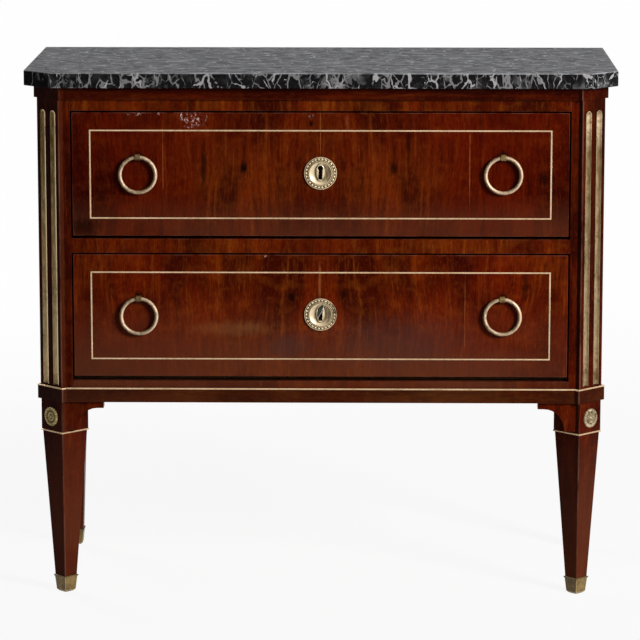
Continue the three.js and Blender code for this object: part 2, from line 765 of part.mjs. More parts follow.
// Drawer front, with its string groove, keyhole, lock mortise, shank holes and bottom groove
function faceGeometry() {
  const width = faceX + faceX - FACE_ARRIS - FACE_ARRIS;
  const height = faceHeadZ - faceFootZ - FACE_ARRIS - FACE_ARRIS;
  const outline = shapeOf([
    [-width / 2, -height / 2],
    [width / 2, -height / 2],
    [width / 2, height / 2],
    [-width / 2, height / 2],
  ]);
  const boards = new THREE.ExtrudeGeometry(outline, {
    depth: FACE_THICKNESS - FACE_ARRIS - FACE_ARRIS,
    bevelThickness: FACE_ARRIS,
    bevelSize: FACE_ARRIS,
    bevelSegments: 1,
  });
  boards.rotateX(Math.PI / 2).translate(0, FACE_THICKNESS - FACE_ARRIS, faceMiddleZ);
  const lockX = LOCK_WIDTH / 2 + SEAT;
  const shankX = EYE_WIDTH / 2 + SEAT;
  const shankZ = SHANK_HEIGHT / 2 + SEAT;
  const grooveX = faceX - DRAWER_SIDE + DRAWER_GROOVE;
  const cutters = [
    stringFrame(SEAT, -OVERRUN, STRING_DEPTH + SEAT),
    reach(keyholeShape(), -OVERRUN, FACE_THICKNESS + OVERRUN).translate(0, 0, keyholeZ),
    block(
      [-lockX, lockY - SEAT, lockFootZ - SEAT],
      [lockX, FACE_THICKNESS + OVERRUN, lockHeadZ + SEAT],
    ),
    boltSpace(BOLT_PLAY, lockHeadZ, faceHeadZ + OVERRUN),
    block(
      [-grooveX, FACE_THICKNESS - DRAWER_GROOVE - SEAT, drawerBottomZ - SEAT],
      [grooveX, FACE_THICKNESS + OVERRUN, drawerBottomZ + DRAWER_BOTTOM + SEAT],
    ),
  ];
  [-1, 1].forEach((side) => {
    cutters.push(
      block(
        [side * pullX - shankX, -OVERRUN, pivotZ - shankZ],
        [side * pullX + shankX, SHANK_LENGTH + SEAT, pivotZ + shankZ],
      ),
    );
  });
  return cut(boards, ...cutters);
}

// A drawer side seen from the front, with the groove for the drawer's bottom
function drawerSideGeometry(side) {
  const inner = faceX - DRAWER_SIDE;
  const grooveX = inner + DRAWER_GROOVE + SEAT;
  const outline = [
    [faceX, RUN],
    [faceX, drawerSideTopZ],
    [inner, drawerSideTopZ],
    [inner, drawerBottomZ + DRAWER_BOTTOM + SEAT],
    [grooveX, drawerBottomZ + DRAWER_BOTTOM + SEAT],
    [grooveX, drawerBottomZ - SEAT],
    [inner, drawerBottomZ - SEAT],
    [inner, RUN],
  ];
  const shape = shapeOf(outline.map(([x, z]) => [side * x, z]));
  return reach(shape, FACE_THICKNESS + SEAT, drawerLength);
}

// Lock case: a thin box with the keyhole in its front wall and the bolt's slot in its head
function lockCaseGeometry() {
  const x = LOCK_WIDTH / 2;
  const box = block([-x, lockY, lockFootZ], [x, FACE_THICKNESS, lockHeadZ]);
  const keySpace = reach(keyholeShape(), lockY - OVERRUN, FACE_THICKNESS - LOCK_WALL);
  return cut(
    box,
    keySpace.translate(0, 0, keyholeZ),
    boltSpace(BOLT_PLAY, boltFootZ - BOLT_PLAY, lockHeadZ + OVERRUN),
  );
}

// Ring pull: an eye with its shank, and the ring that hangs in it
function eyeGeometry() {
  const round = (radius, width) =>
    new THREE.CylinderGeometry(radius, radius, width, EYE_STEPS).rotateZ(Math.PI / 2);
  const eye = round(EYE_OUTER, EYE_WIDTH);
  const shank = block(
    [-EYE_WIDTH / 2, 0, -SHANK_HEIGHT / 2],
    [EYE_WIDTH / 2, PIVOT_OUT + SHANK_LENGTH, SHANK_HEIGHT / 2],
  );
  return cut(join(eye, shank), round(EYE_BORE, EYE_WIDTH + OVERRUN));
}

const ringGeometry = () =>
  new THREE.TorusGeometry(RING_RADIUS, RING_WIRE, RING_SIDES, RING_STEPS).rotateX(Math.PI / 2);

// One drawer with everything on it
function drawer(name, sill) {
  const box = groupAt(chest, [0, frontY, sill]);
  piece(box, name + "_drawer_front", faceGeometry(), mahogany());
  piece(box, name + "_drawer_string", stringFrame(0, 0, STRING_DEPTH), brass());
  piece(box, name + "_drawer_side_left", drawerSideGeometry(-1), pine());
  piece(box, name + "_drawer_side_right", drawerSideGeometry(1), pine());

  const innerX = faceX - DRAWER_SIDE - SEAT;
  const backFoot = drawerBottomZ + DRAWER_BOTTOM + SEAT;
  const back = block(
    [-innerX, drawerLength - DRAWER_BACK, backFoot],
    [innerX, drawerLength, drawerSideTopZ],
  );
  piece(box, name + "_drawer_back", back, pine());

  const bottomX = faceX - DRAWER_SIDE + DRAWER_GROOVE;
  const bottom = block(
    [-bottomX, FACE_THICKNESS - DRAWER_GROOVE, drawerBottomZ],
    [bottomX, drawerLength, drawerBottomZ + DRAWER_BOTTOM],
  );
  const frontTabX = bottomX - SEAT;
  const tabs = [-1, 1].map((side) =>
    block(
      [side * frontTabX, -OVERRUN, -OVERRUN],
      [side * faceX, FACE_THICKNESS + SEAT + SEAT, drawerBottomZ + DRAWER_BOTTOM + OVERRUN],
    ),
  );
  piece(box, name + "_drawer_bottom", cut(bottom, ...tabs), pine());

  piece(box, name + "_escutcheon", escutcheonGeometry(), brass(), [0, -SEAT, escutcheonZ]);
  piece(box, name + "_lock_case", lockCaseGeometry(), iron());
  piece(box, name + "_lock_bolt", boltSpace(0, boltFootZ, boltHeadZ), iron());

  [-1, 1].forEach((side) => {
    const hand = side < 0 ? "left" : "right";
    const pivot = [side * pullX, -PIVOT_OUT, pivotZ];
    piece(box, name + "_pull_eye_" + hand, eyeGeometry(), brass(), pivot);
    const hang = [side * pullX, -PIVOT_OUT, pivotZ - RING_RADIUS];
    piece(box, name + "_ring_" + hand, ringGeometry(), brass(), hang);
  });
}
drawer("upper", upperSill);
drawer("lower", lowerSill);

export default chest;
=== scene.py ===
# %% [markdown]
# # A commode chest, finished in Blender
# The chest has two drawers under a marble slab. Its corner posts are set corner-on to the front,
# with brass-lined flutes, and its legs taper to brass feet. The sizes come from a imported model,
# which stays as it is. This lesson gives each piece its surface: French-polished mahogany veneer,
# old brass, veined marble, bare pine and iron.

import json
import math

import bmesh
import bpy
from mathutils import Matrix, Vector

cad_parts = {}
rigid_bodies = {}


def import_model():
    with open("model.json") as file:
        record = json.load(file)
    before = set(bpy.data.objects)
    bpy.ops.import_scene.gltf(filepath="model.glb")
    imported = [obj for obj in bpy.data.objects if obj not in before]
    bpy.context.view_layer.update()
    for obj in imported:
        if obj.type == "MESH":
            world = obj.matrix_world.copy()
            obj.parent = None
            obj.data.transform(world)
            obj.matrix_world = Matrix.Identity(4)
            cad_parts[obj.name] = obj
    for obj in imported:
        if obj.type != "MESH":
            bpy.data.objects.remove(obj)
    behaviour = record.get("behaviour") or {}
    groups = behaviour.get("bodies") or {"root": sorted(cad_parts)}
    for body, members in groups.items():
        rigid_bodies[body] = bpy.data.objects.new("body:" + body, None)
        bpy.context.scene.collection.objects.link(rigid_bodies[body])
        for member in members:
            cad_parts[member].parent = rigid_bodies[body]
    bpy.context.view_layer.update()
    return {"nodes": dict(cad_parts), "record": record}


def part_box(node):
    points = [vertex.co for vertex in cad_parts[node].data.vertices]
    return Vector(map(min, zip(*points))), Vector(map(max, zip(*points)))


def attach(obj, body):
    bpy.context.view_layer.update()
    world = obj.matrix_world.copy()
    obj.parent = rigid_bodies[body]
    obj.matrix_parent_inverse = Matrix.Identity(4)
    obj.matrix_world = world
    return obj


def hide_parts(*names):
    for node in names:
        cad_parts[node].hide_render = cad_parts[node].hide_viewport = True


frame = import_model()
MM = 0.001
body_of = {
    node: body
    for body, nodes in frame["record"]["behaviour"]["bodies"].items()
    for node in nodes
}

# %% [markdown]
# ## The camera
# The photograph was taken from about five metres away with a long lens, a little above the slab,
# so the front looks nearly flat and only a thin strip of the marble top shows. The camera is
# tilted down rather than its lens shifted, because other views would keep a shift.

# %% Place the camera
CAMERA_PLACE = (0.081, -5.5, 1.388)
CAMERA_DOWN = 10.07  # degrees below the horizon
CAMERA_TURN = 0.88  # degrees, to the left
CAMERA_LENS, SENSOR_WIDTH = 194.8, 36  # millimetres


def in_scene(name, data):
    thing = bpy.data.objects.new(name, data)
    bpy.context.scene.collection.objects.link(thing)
    return thing


camera_data = bpy.data.cameras.new("camera")
camera_data.sensor_width = SENSOR_WIDTH
camera_data.lens = CAMERA_LENS
camera = in_scene("camera", camera_data)
camera.location = CAMERA_PLACE
camera.rotation_euler = (math.radians(90 - CAMERA_DOWN), 0, math.radians(CAMERA_TURN))
bpy.context.scene.camera = camera
print("camera lens:", camera_data.lens, "mm")

# %% [markdown]
# ## Building node trees
# Every material here is a tree of nodes. A few small helpers keep the trees readable: they add a
# node, fill its inputs, make a group with named inputs and outputs, and make a material around a
# Principled BSDF. An input can be given a value or another node's output.

# %% Helpers for node trees
def fill(tree, node, inputs):
    for name, given in inputs.items():
        if isinstance(given, bpy.types.NodeSocket):
            tree.links.new(given, node.inputs[name])
        else:
            node.inputs[name].default_value = given
    return node


def add(tree, kind, inputs=None, **settings):
    node = tree.nodes.new(kind)
    for name, setting in settings.items():
        setattr(node, name, setting)
    return fill(tree, node, inputs or {})


def new_tree(name, kind, inputs, outputs):
    """A node group; its inputs and outputs are given as {name: kind of socket}."""
    tree = bpy.data.node_groups.new(name, kind)
    for in_out, sockets in (("INPUT", inputs), ("OUTPUT", outputs)):
        for title, what in sockets.items():
            tree.interface.new_socket(
                name=title, in_out=in_out, socket_type="NodeSocket" + what
            )
    given = tree.nodes.new("NodeGroupInput").outputs
    return tree, given, tree.nodes.new("NodeGroupOutput")


def use(tree, group, **inputs):
    """Places a node group in a material and gives its outputs."""
    return add(tree, "ShaderNodeGroup", inputs, node_tree=group).outputs


def new_material(name):
    material = bpy.data.materials.new(name)
    material.use_nodes = True
    tree = material.node_tree
    place = add(tree, "ShaderNodeTexCoord").outputs["Object"]
    return material, tree, tree.nodes["Principled BSDF"], place


print("helpers ready: fill, add, new_tree, use and new_material")

# %% [markdown]
# Most nodes do one small sum: they multiply two masks, turn one range of values into another, or
# mix two colours by a mask. Each such sum has a helper with a plain name. Noise that is stretched
# one way or another stands for nearly all that is irregular in wood, stone and old metal.

# %% Helpers for values and colours
def math_of(tree, operation, first, second=0.0):
    return add(tree, "ShaderNodeMath", {0: first, 1: second}, operation=operation).outputs[0]


def times(tree, first, second):
    return math_of(tree, "MULTIPLY", first, second)


def vector_of(tree, operation, inputs, output="Vector"):
    return add(
        tree, "ShaderNodeVectorMath", dict(enumerate(inputs)), operation=operation
    ).outputs[output]


def axis(tree, vector, name):
    return add(tree, "ShaderNodeSeparateXYZ", {0: vector}).outputs[name]


def mark_of(tree, name):
    """A value that the piece's mesh carries, such as the arris share, or how dark a point is with
    crust and painted shade.
    """
    return add(tree, "ShaderNodeAttribute", attribute_name=name).outputs["Fac"]


def between(tree, given, low, high, start=0.0, end=1.0):
    return add(
        tree,
        "ShaderNodeMapRange",
        {"Value": given, "From Min": low, "From Max": high, "To Min": start, "To Max": end},
        interpolation_type="SMOOTHSTEP",
    ).outputs["Result"]


def mixed(tree, amount, first, second, blend="MIX"):
    return add(
        tree, "ShaderNodeMix", {0: amount, 6: first, 7: second}, data_type="RGBA", blend_type=blend
    ).outputs[2]


def stretched(tree, place, scale, shift=(0, 0, 0)):
    return add(
        tree, "ShaderNodeMapping", {"Vector": place, "Scale": scale, "Location": shift}
    ).outputs["Vector"]


def noise(tree, place, scale, detail=3.0, roughness=0.5):
    place = stretched(tree, place, scale)
    return add(
        tree,
        "ShaderNodeTexNoise",
        {"Vector": place, "Scale": 1.0, "Detail": detail, "Roughness": roughness},
    ).outputs["Fac"]


def bumped(tree, height, strength, distance, normal=None, invert=False):
    inputs = {"Strength": strength, "Distance": distance, "Height": height}
    if normal is not None:
        inputs["Normal"] = normal
    return add(tree, "ShaderNodeBump", inputs, invert=invert).outputs[0]


def rgb(red, green, blue):
    return (red, green, blue, 1.0)


print("helpers ready, from math_of to rgb")

# %% [markdown]
# ## The room
# The chest stands on a pale floor in a white room. The white background is only painted for the
# camera, for reflections and for what is seen through glass, so no extra light falls on the wood,
# and the floor keeps the chest's shadow.

# %% Floor and world
FILL_LEVEL = 0.06  # the light that the room itself gives
FLOOR_SIZE = 60.0
FLOOR_GREY, FLOOR_ROUGHNESS = rgb(0.6, 0.6, 0.6), 0.9
NEAR_WHITE, FAR_WHITE = 0.9, 0.99  # share of plain white in what is seen of the floor
NEAR, FAR = 0.7, 3.0  # metres from the chest's middle


def seen_by_camera(tree):
    """1 for what the camera sees, also in a reflection or through glass, and otherwise 0."""
    paths = add(tree, "ShaderNodeLightPath").outputs
    seen = math_of(tree, "MAXIMUM", paths["Is Camera Ray"], paths["Is Glossy Ray"])
    return math_of(tree, "MAXIMUM", seen, paths["Is Transmission Ray"])


world = bpy.data.worlds.new("white room")
bpy.context.scene.world = world
world.use_nodes = True
room = world.node_tree
level = between(room, seen_by_camera(room), 0.0, 1.0, FILL_LEVEL, 1.0)
fill(room, room.nodes["Background"], {"Color": rgb(1, 1, 1), "Strength": level})

half = FLOOR_SIZE / 2
corners = [(-half, -half, 0), (half, -half, 0), (half, half, 0), (-half, half, 0)]
floor_mesh = bpy.data.meshes.new("floor")
floor_mesh.from_pydata(corners, [], [(0, 1, 2, 3)])
floor = in_scene("floor", floor_mesh)

pale_floor, tree, shader, ground = new_material("pale floor")
fill(
    tree,
    shader,
    {"Base Color": FLOOR_GREY, "Roughness": FLOOR_ROUGHNESS, "Specular IOR Level": 0.0},
)
white = add(tree, "ShaderNodeEmission", {"Color": rgb(1, 1, 1), "Strength": 1.0}).outputs[0]
away = vector_of(tree, "LENGTH", (ground,), "Value")
share = between(tree, away, NEAR, FAR, NEAR_WHITE, FAR_WHITE)
share = times(tree, seen_by_camera(tree), share)
both = add(tree, "ShaderNodeMixShader", {0: share, 1: shader.outputs[0], 2: white}).outputs[0]
fill(tree, tree.nodes["Material Output"], {"Surface": both})
floor_mesh.materials.append(pale_floor)
print("floor:", FLOOR_SIZE, "m wide")

# %% [markdown]
# A large soft lamp at the front right does most of the work, as in the photograph, where the
# left-hand facets are almost black. A second lamp behind the left corner lights the back and the
# left side.

# %% Lamps
CHEST_MIDDLE = Vector((0.0, 0.0, 0.45))
LAMPS = {  # place, width and power
    "front right lamp": ((2.8, -2.75, 2.0), 1.3, 225),
    "back left lamp": ((-2.4, 2.7, 1.9), 1.6, 80),
}
for name, (place, width, power) in LAMPS.items():
    lamp_data = bpy.data.lights.new(name, "AREA")
    lamp_data.shape = "DISK"
    lamp_data.size = width
    lamp_data.energy = power
    lamp = in_scene(name, lamp_data)
    lamp.location = place
    lamp.rotation_euler = (CHEST_MIDDLE - lamp.location).to_track_quat("-Z", "Y").to_euler()
bpy.context.scene.view_settings.view_transform = "Standard"
print("lamps:", list(LAMPS))

# %% [markdown]
# ## Mahogany veneer
# Sawn mahogany veneer is red-brown with darker growth streaks, thin orange lines and fine pores,
# all of them far longer than they are wide. Noise that is stretched along the grain gives each of
# these. Several woods and directions are needed, so the figure is one group of nodes. It expects
# the grain along Z, and a piece with its grain another way turns its coordinates first.

# %% Node group: wood figure
SWAY = 0.007  # metres that the grain strays to each side


def figure_group():
    tones = {"Dark": "Color", "Middle": "Color", "Light": "Color", "Contrast": "Float"}
    tree, given, result = new_tree(
        "wood figure",
        "ShaderNodeTree",
        {"Place": "Vector", **tones},
        {"Color": "Color", "Pores": "Float", "Polish": "Float"},
    )
    sway = between(tree, noise(tree, given["Place"], (6, 6, 2.4)), 0.2, 0.8, -SWAY, SWAY)
    bend = add(tree, "ShaderNodeCombineXYZ", {"X": sway, "Y": sway}).outputs[0]
    place = vector_of(tree, "ADD", (given["Place"], bend))
    broad = noise(tree, place, (12, 12, 4.2), 4.0, 0.58)
    patches = noise(tree, place, (6, 6, 5), 3.0, 0.5)
    streaks = noise(tree, place, (95, 95, 8), 5.0, 0.66)
    wisps = noise(tree, place, (170, 170, 22), 4.0, 0.6)
    lines = noise(tree, place, (260, 260, 11), 3.0, 0.55)
    fibres = noise(tree, place, (760, 760, 40), 2.0, 0.6)
    shimmer = noise(tree, place, (34, 34, 60), 3.0, 0.5)
    grain = noise(tree, place, (420, 420, 130), 3.0, 0.6)

    color = mixed(tree, between(tree, broad, 0.36, 0.6), given["Dark"], given["Middle"])
    layers = (  # pattern, where it starts and is full, strength, tone, and what holds it back
        (patches, 0.5, 0.76, 0.34, "Light", None),
        (streaks, 0.49, 0.68, 0.72, "Dark", given["Contrast"]),
        (streaks, 0.47, 0.3, 0.36, "Light", given["Contrast"]),
        (wisps, 0.52, 0.64, 0.8, "Dark", between(tree, broad, 0.58, 0.4)),
        (lines, 0.56, 0.74, 0.4, "Light", between(tree, patches, 0.4, 0.62)),
        (lines, 0.44, 0.3, 0.35, "Dark", None),
        (shimmer, 0.48, 0.72, 0.16, "Light", None),
        (fibres, 0.5, 0.68, 0.35, "Dark", None),
        (grain, 0.5, 0.7, 0.4, "Dark", None),
        (grain, 0.48, 0.3, 0.16, "Light", None),
    )
    for pattern, start, full, strength, tone, held in layers:
        amount = between(tree, pattern, start, full, 0.0, strength)
        if held is not None:
            amount = times(tree, amount, held)
        color = mixed(tree, amount, color, given[tone])
    pores = between(tree, fibres, 0.6, 0.72)
    polish = between(tree, patches, 0.3, 0.7)
    fill(tree, result, {"Color": color, "Pores": pores, "Polish": polish})
    return tree


figure = figure_group()
print("group:", figure.name)

# %% [markdown]
# A knot is a small dark eye with the grain flowing round it. This group masks one ragged spot that
# fades outwards. It also serves for grime and painted shade round a pull, for hazes and painted
# sheens in the polish, for painted shade and a painted shadow on the posts, for cracks and for
# chips with painted glints, each with a shade and a reach of its own.

# %% Node group: spot
def spot_group():
    places = {"Place": "Vector", "Middle": "Vector", "Reach": "Vector"}
    tree, given, result = new_tree("spot", "ShaderNodeTree", places, {"Mask": "Float"})
    away = vector_of(tree, "SUBTRACT", (given["Place"], given["Middle"]))
    away = vector_of(tree, "DIVIDE", (away, given["Reach"]))
    away = vector_of(tree, "LENGTH", (away,), "Value")
    ragged = noise(tree, given["Place"], (180, 180, 60), 3.0, 0.6)
    away = math_of(tree, "ADD", away, between(tree, ragged, 0.3, 0.7, -0.35, 0.35))
    fill(tree, result, {"Mask": between(tree, away, 0.35, 1.5, 1.0, 0.0)})
    return tree


spot = spot_group()


def spotted(tree, place, color, shade, spots, flecks=None):
    """Mixes a shade in at spots of (middle, reach, strength); flecks break them up."""
    for middle, reach, strength in spots:
        mask = use(tree, spot, Place=place, Middle=middle, Reach=reach)["Mask"]
        amount = times(tree, mask, strength)
        if flecks is not None:
            amount = times(tree, amount, flecks)
        color = mixed(tree, amount, color, shade)
    return color


print("group:", spot.name)

# %% [markdown]
# The veneer of a drawer front is opened like a book at its middle, so one half mirrors the other,
# though never quite. Mouldings have their grain along X, and the coordinates are turned for them.
# The pine inside the chest uses the same turns.

# %% Helpers: how veneer lies
GRAIN_TURN = {"X": (0, math.pi / 2, 0), "Y": (math.pi / 2, 0, 0), "Z": (0, 0, 0)}


def folded_like_a_book(tree, place):
    wander = between(tree, noise(tree, place, (3, 3, 2)), 0.3, 0.7, -0.012, 0.012)
    folded = math_of(tree, "ADD", math_of(tree, "ABSOLUTE", axis(tree, place, "X")), wander)
    parts = {"X": folded, "Y": axis(tree, place, "Y"), "Z": axis(tree, place, "Z")}
    return add(tree, "ShaderNodeCombineXYZ", parts).outputs[0]


def along_grain(tree, place, along, shift):
    """Turns coordinates, so that the grain's direction becomes Z, and shifts the figure."""
    return add(
        tree,
        "ShaderNodeMapping",
        {"Vector": place, "Rotation": GRAIN_TURN[along], "Location": shift},
    ).outputs["Vector"]


print("the grain can run along", list(GRAIN_TURN))

# %% [markdown]
# French polish is a thin, clear, glossy skin. The wood below it keeps a faint bump from its pores,
# and the polish is thinner at the arrises, where handling has worn it paler. Each bevelled piece
# carries an attribute called arris that is 1 on its bevels, and the material lightens there, which
# is partly wear and partly a painted highlight. A drawer front darkens towards its ends, and a
# grey haze is painted on its foot, a painted reflection of the floor. Where the finish is chipped,
# small pale flecks of bare wood show, painted bright as glints.

# %% Material: polished mahogany
MAHOGANY_TONES = {
    "Dark": rgb(0.022, 0.0012, 0.0002),
    "Middle": rgb(0.082, 0.0064, 0.0004),
    "Light": rgb(0.19, 0.037, 0.004),
    "Contrast": 1.0,
}
# Painted light among these colours: the arris colour is partly a painted highlight, the grey haze
# is a painted reflection of the floor, and the flecks of chips are painted glints.
ARRIS_WEAR_AND_HIGHLIGHT = rgb(0.13, 0.052, 0.034)
FLOOR_REFLECTION = rgb(0.086, 0.024, 0.011)
BARE_WOOD_GLINT = rgb(0.5, 0.33, 0.3)
MARK_SHADES = {
    "strips": rgb(0.062, 0.016, 0.006),
    "sheens": rgb(0.2, 0.085, 0.026),
    "clouds": rgb(0.04, 0.02, 0.018),
    "cracks": rgb(0.26, 0.08, 0.02),
    "spots": rgb(0.006, 0.0012, 0.0004),
}
BRIGHT_MIDDLE = -0.04  # X of the brightest place of a drawer front
ENDS_START, ENDS_FULL = 0.1, 0.32  # metres from there


def mahogany(
    name, along="Z", shift=(0, 0, 0), book=False, shade=None, ends=None, floor_reflection=None, **marks
):
    """The painted floor reflection is given as (foot, head, strength); marks are lists of spots,
    by kind.
    """
    material, tree, shader, place = new_material(name)
    grain = folded_like_a_book(tree, place) if book else place
    grain = along_grain(tree, grain, along, shift)
    wood = use(tree, figure, Place=grain, **MAHOGANY_TONES)
    color = wood["Color"]
    if shade:
        color = mixed(tree, 1.0, color, shade, "MULTIPLY")
    if ends:
        across = math_of(tree, "SUBTRACT", axis(tree, place, "X"), BRIGHT_MIDDLE)
        across = between(tree, math_of(tree, "ABSOLUTE", across), ENDS_START, ENDS_FULL)
        color = mixed(tree, across, color, ends, "MULTIPLY")
    # A painted reflection of the floor: a grey haze that is strongest at the foot.
    if floor_reflection:
        foot, head, strength = floor_reflection
        patchy = between(tree, noise(tree, place, (4, 4, 9), 2.0), 0.3, 0.6, 0.35, 1.0)
        amount = between(tree, axis(tree, place, "Z"), foot, head, strength, 0.0)
        color = mixed(tree, times(tree, amount, patchy), color, FLOOR_REFLECTION)
    for kind, mark_shade in MARK_SHADES.items():
        color = spotted(tree, place, color, mark_shade, marks.get(kind, ()))
    # Chips in the polish show pale bare wood, painted bright as glints.
    if "chips" in marks:
        flecks = between(tree, noise(tree, place, (230, 230, 150), 5.0, 0.72), 0.53, 0.6)
        color = spotted(tree, place, color, BARE_WOOD_GLINT, marks["chips"], flecks)
    # The arrises lighten with wear and with a painted highlight.
    rubbed_and_lit = between(tree, noise(tree, place, (45, 45, 9), 4.0, 0.65), 0.38, 0.6, 0.05, 0.8)
    color = mixed(tree, times(tree, mark_of(tree, "arris"), rubbed_and_lit), color, ARRIS_WEAR_AND_HIGHLIGHT)
    waves = bumped(tree, noise(tree, place, (14, 14, 6), 2.0), 0.3, 0.0006)
    fill(
        tree,
        shader,
        {
            "Base Color": color,
            "Roughness": between(tree, wood["Polish"], 0.0, 1.0, 0.17, 0.32),
            "Specular IOR Level": 0.012,
            "Normal": bumped(tree, wood["Pores"], 0.35, 0.00012, waves, invert=True),
        },
    )
    return material


print("kinds of marks:", list(MARK_SHADES))

# %% [markdown]
# The two drawer fronts have their own knots, hairline cracks, hazes and chips, so each gets a
# list of marks. A mark is placed in millimetres on the front, with half its width and height.
# Round the eyes of the pulls there is grime with painted shade, the keyhole shade is painted shade
# in and round each keyhole, and the sheens of the lower front are painted highlights.

# %% Mahogany of the drawer fronts
FACE_Y, MARK_DEPTH = -183, 50
UPPER_SILL, LOWER_SILL = 571, 349
PULL_X, GRIME_AND_SHADE_RISE, GRIME_AND_SHADE_DEPTH = 283, 131.5, 20
KNOT, ROUND_KNOT, SMALL_KNOT = (5, 9.5), (4.2, 8), (2.2, 4)
HAIRLINE, KEYHOLE_SHADE = (0.7, 50), (12, 22)


def mark(x, z, size, strength=1.0, depth=MARK_DEPTH):
    middle = (x * MM, FACE_Y * MM, z * MM)
    return middle, (size[0] * MM, depth * MM, size[1] * MM), strength


# Grime with painted shade round each pull's eye.
def grime_and_shade_round_pulls(sill):
    z = sill + GRIME_AND_SHADE_RISE
    return [mark(side * PULL_X, z, (8, 7), 0.8, GRIME_AND_SHADE_DEPTH) for side in (-1, 1)]


wood_upper = mahogany(
    "veneer, upper drawer",
    book=True,
    floor_reflection=(0.574, 0.65, 0.5),
    ends=rgb(0.82, 0.58, 0.45),
    spots=grime_and_shade_round_pulls(UPPER_SILL) + [
        mark(-119, 682, KNOT),
        mark(114, 682, KNOT, 0.85),
        mark(-356, 678, SMALL_KNOT, 0.7),
        mark(-351, 720, SMALL_KNOT, 0.6),
        mark(346, 664, KNOT, 0.75),
        mark(-181, 680, (4, 36), 0.7),
        mark(136, 717, (3.5, 22), 0.7),
        mark(-368, 589, (20, 14), 0.75),
        mark(-14, 752, (3, 4), 0.9),
        # Painted shade in and round the keyhole.
        mark(0, 676, KEYHOLE_SHADE),
    ],
    cracks=[
        mark(-244, 690, HAIRLINE, 0.5),
        mark(0, 735, HAIRLINE, 0.5),
        mark(231, 690, HAIRLINE, 0.6),
        mark(41, 756, (2.5, 13), 0.3),
    ],
    chips=[
        mark(-212, 765, (13, 4.5)),
        mark(-198, 757, (16, 11)),
        mark(-286, 767, (12, 3)),
        mark(-247, 767, (5, 3)),
        mark(-15, 763, (4, 5)),
    ],
)
wood_lower = mahogany(
    "veneer, lower drawer",
    shift=(0.02, 0, 0.31),
    book=True,
    shade=rgb(1.38, 1.5, 1.1),
    floor_reflection=(0.352, 0.5, 0.75),
    ends=rgb(0.86, 0.7, 0.8),
    spots=grime_and_shade_round_pulls(LOWER_SILL) + [
        mark(-45, 481, ROUND_KNOT, 0.95),
        mark(36, 485, ROUND_KNOT, 0.75),
        mark(318, 500, (5, 20), 0.5),
        mark(-330, 520, (4, 20), 0.4),
        # Painted shade in and round the keyhole.
        mark(0, 454, KEYHOLE_SHADE),
    ],
    # The sheens are painted highlights on the polish.
    sheens=[mark(-135, 430, (60, 11), 0.22), mark(-110, 432, (20, 5), 0.15)],
    clouds=[mark(-49, 402, (35, 20), 0.45), mark(120, 410, (100, 35), 0.35)],
    cracks=[mark(-1, 500, (2, 30), 0.5), mark(225, 450, HAIRLINE, 0.4)],
    chips=[mark(-148, 544, (3, 2)), mark(-86, 544, (4, 2))],
)
print("drawer fronts:", wood_upper.name, "and", wood_lower.name)

# %% [markdown]
# Posts, rails, mouldings and side panels are other cuts of the same wood, so each has a shift of
# the figure and a shade. A thin strip beside the left front arris is painted pale, a painted
# reflection, and on the right post the same strip is painted dark, a painted shadow. The right
# post is also painted darker down its middle, as painted shade.

# %% Mahogany of the carcase
STRIP_X, STRIP_Y = 0.4022, -0.187
STRIP_REACH = (0.0036, 0.009, 3.0)


def arris_strip(side, strength):
    return ((side * STRIP_X, STRIP_Y, 0.5), STRIP_REACH, strength)


# The left strip is a painted reflection, pale beside the arris.
left_strip = [arris_strip(-1, 0.45)]
wood_posts = mahogany(
    "veneer, posts and legs",
    shift=(3.1, 1.7, 0.4),
    shade=rgb(0.8, 0.72, 0.75),
    floor_reflection=(0.12, 0.33, 0.6),
    strips=left_strip,
    # Painted shade down the middle of the right post, and a painted shadow in the strip beside its
    # arris.
    spots=[((0.425, -0.165, 0.61), (0.034, 0.04, 0.2), 0.62), arris_strip(1, 0.5)],
)
wood_rails = mahogany(
    "veneer, rails", shift=(1.3, 5.2, 2.1), shade=rgb(1.2, 1.45, 1.25), floor_reflection=(0.34, 0.37, 0.7)
)
wood_frieze = mahogany(
    "mahogany, frieze", "X", (2.2, 0.6, 4.4), shade=rgb(0.62, 0.6, 0.7), strips=left_strip
)
wood_plinth = mahogany(
    "mahogany, plinth",
    "X",
    (7.2, 3.6, 1.4),
    shade=rgb(0.52, 0.85, 1.2),
    floor_reflection=(0.31, 0.36, 0.3),
    strips=left_strip,
)
wood_panels = mahogany("veneer, side panels", shift=(6.1, 2.9, 1.1))
carcase_woods = (wood_posts, wood_rails, wood_frieze, wood_plinth, wood_panels)
print("mahogany of the carcase:", [wood.name for wood in carcase_woods])

# %% [markdown]
# ## Marble
# The slab is a nearly black limestone marble. Its breaks healed with pale calcite, so it carries a
# net of fine veins of uneven width, a few broad pale ones and cloudy grey patches between them.
# The distance to the edges of warped Voronoi cells draws such a net, and noise fades it in places.

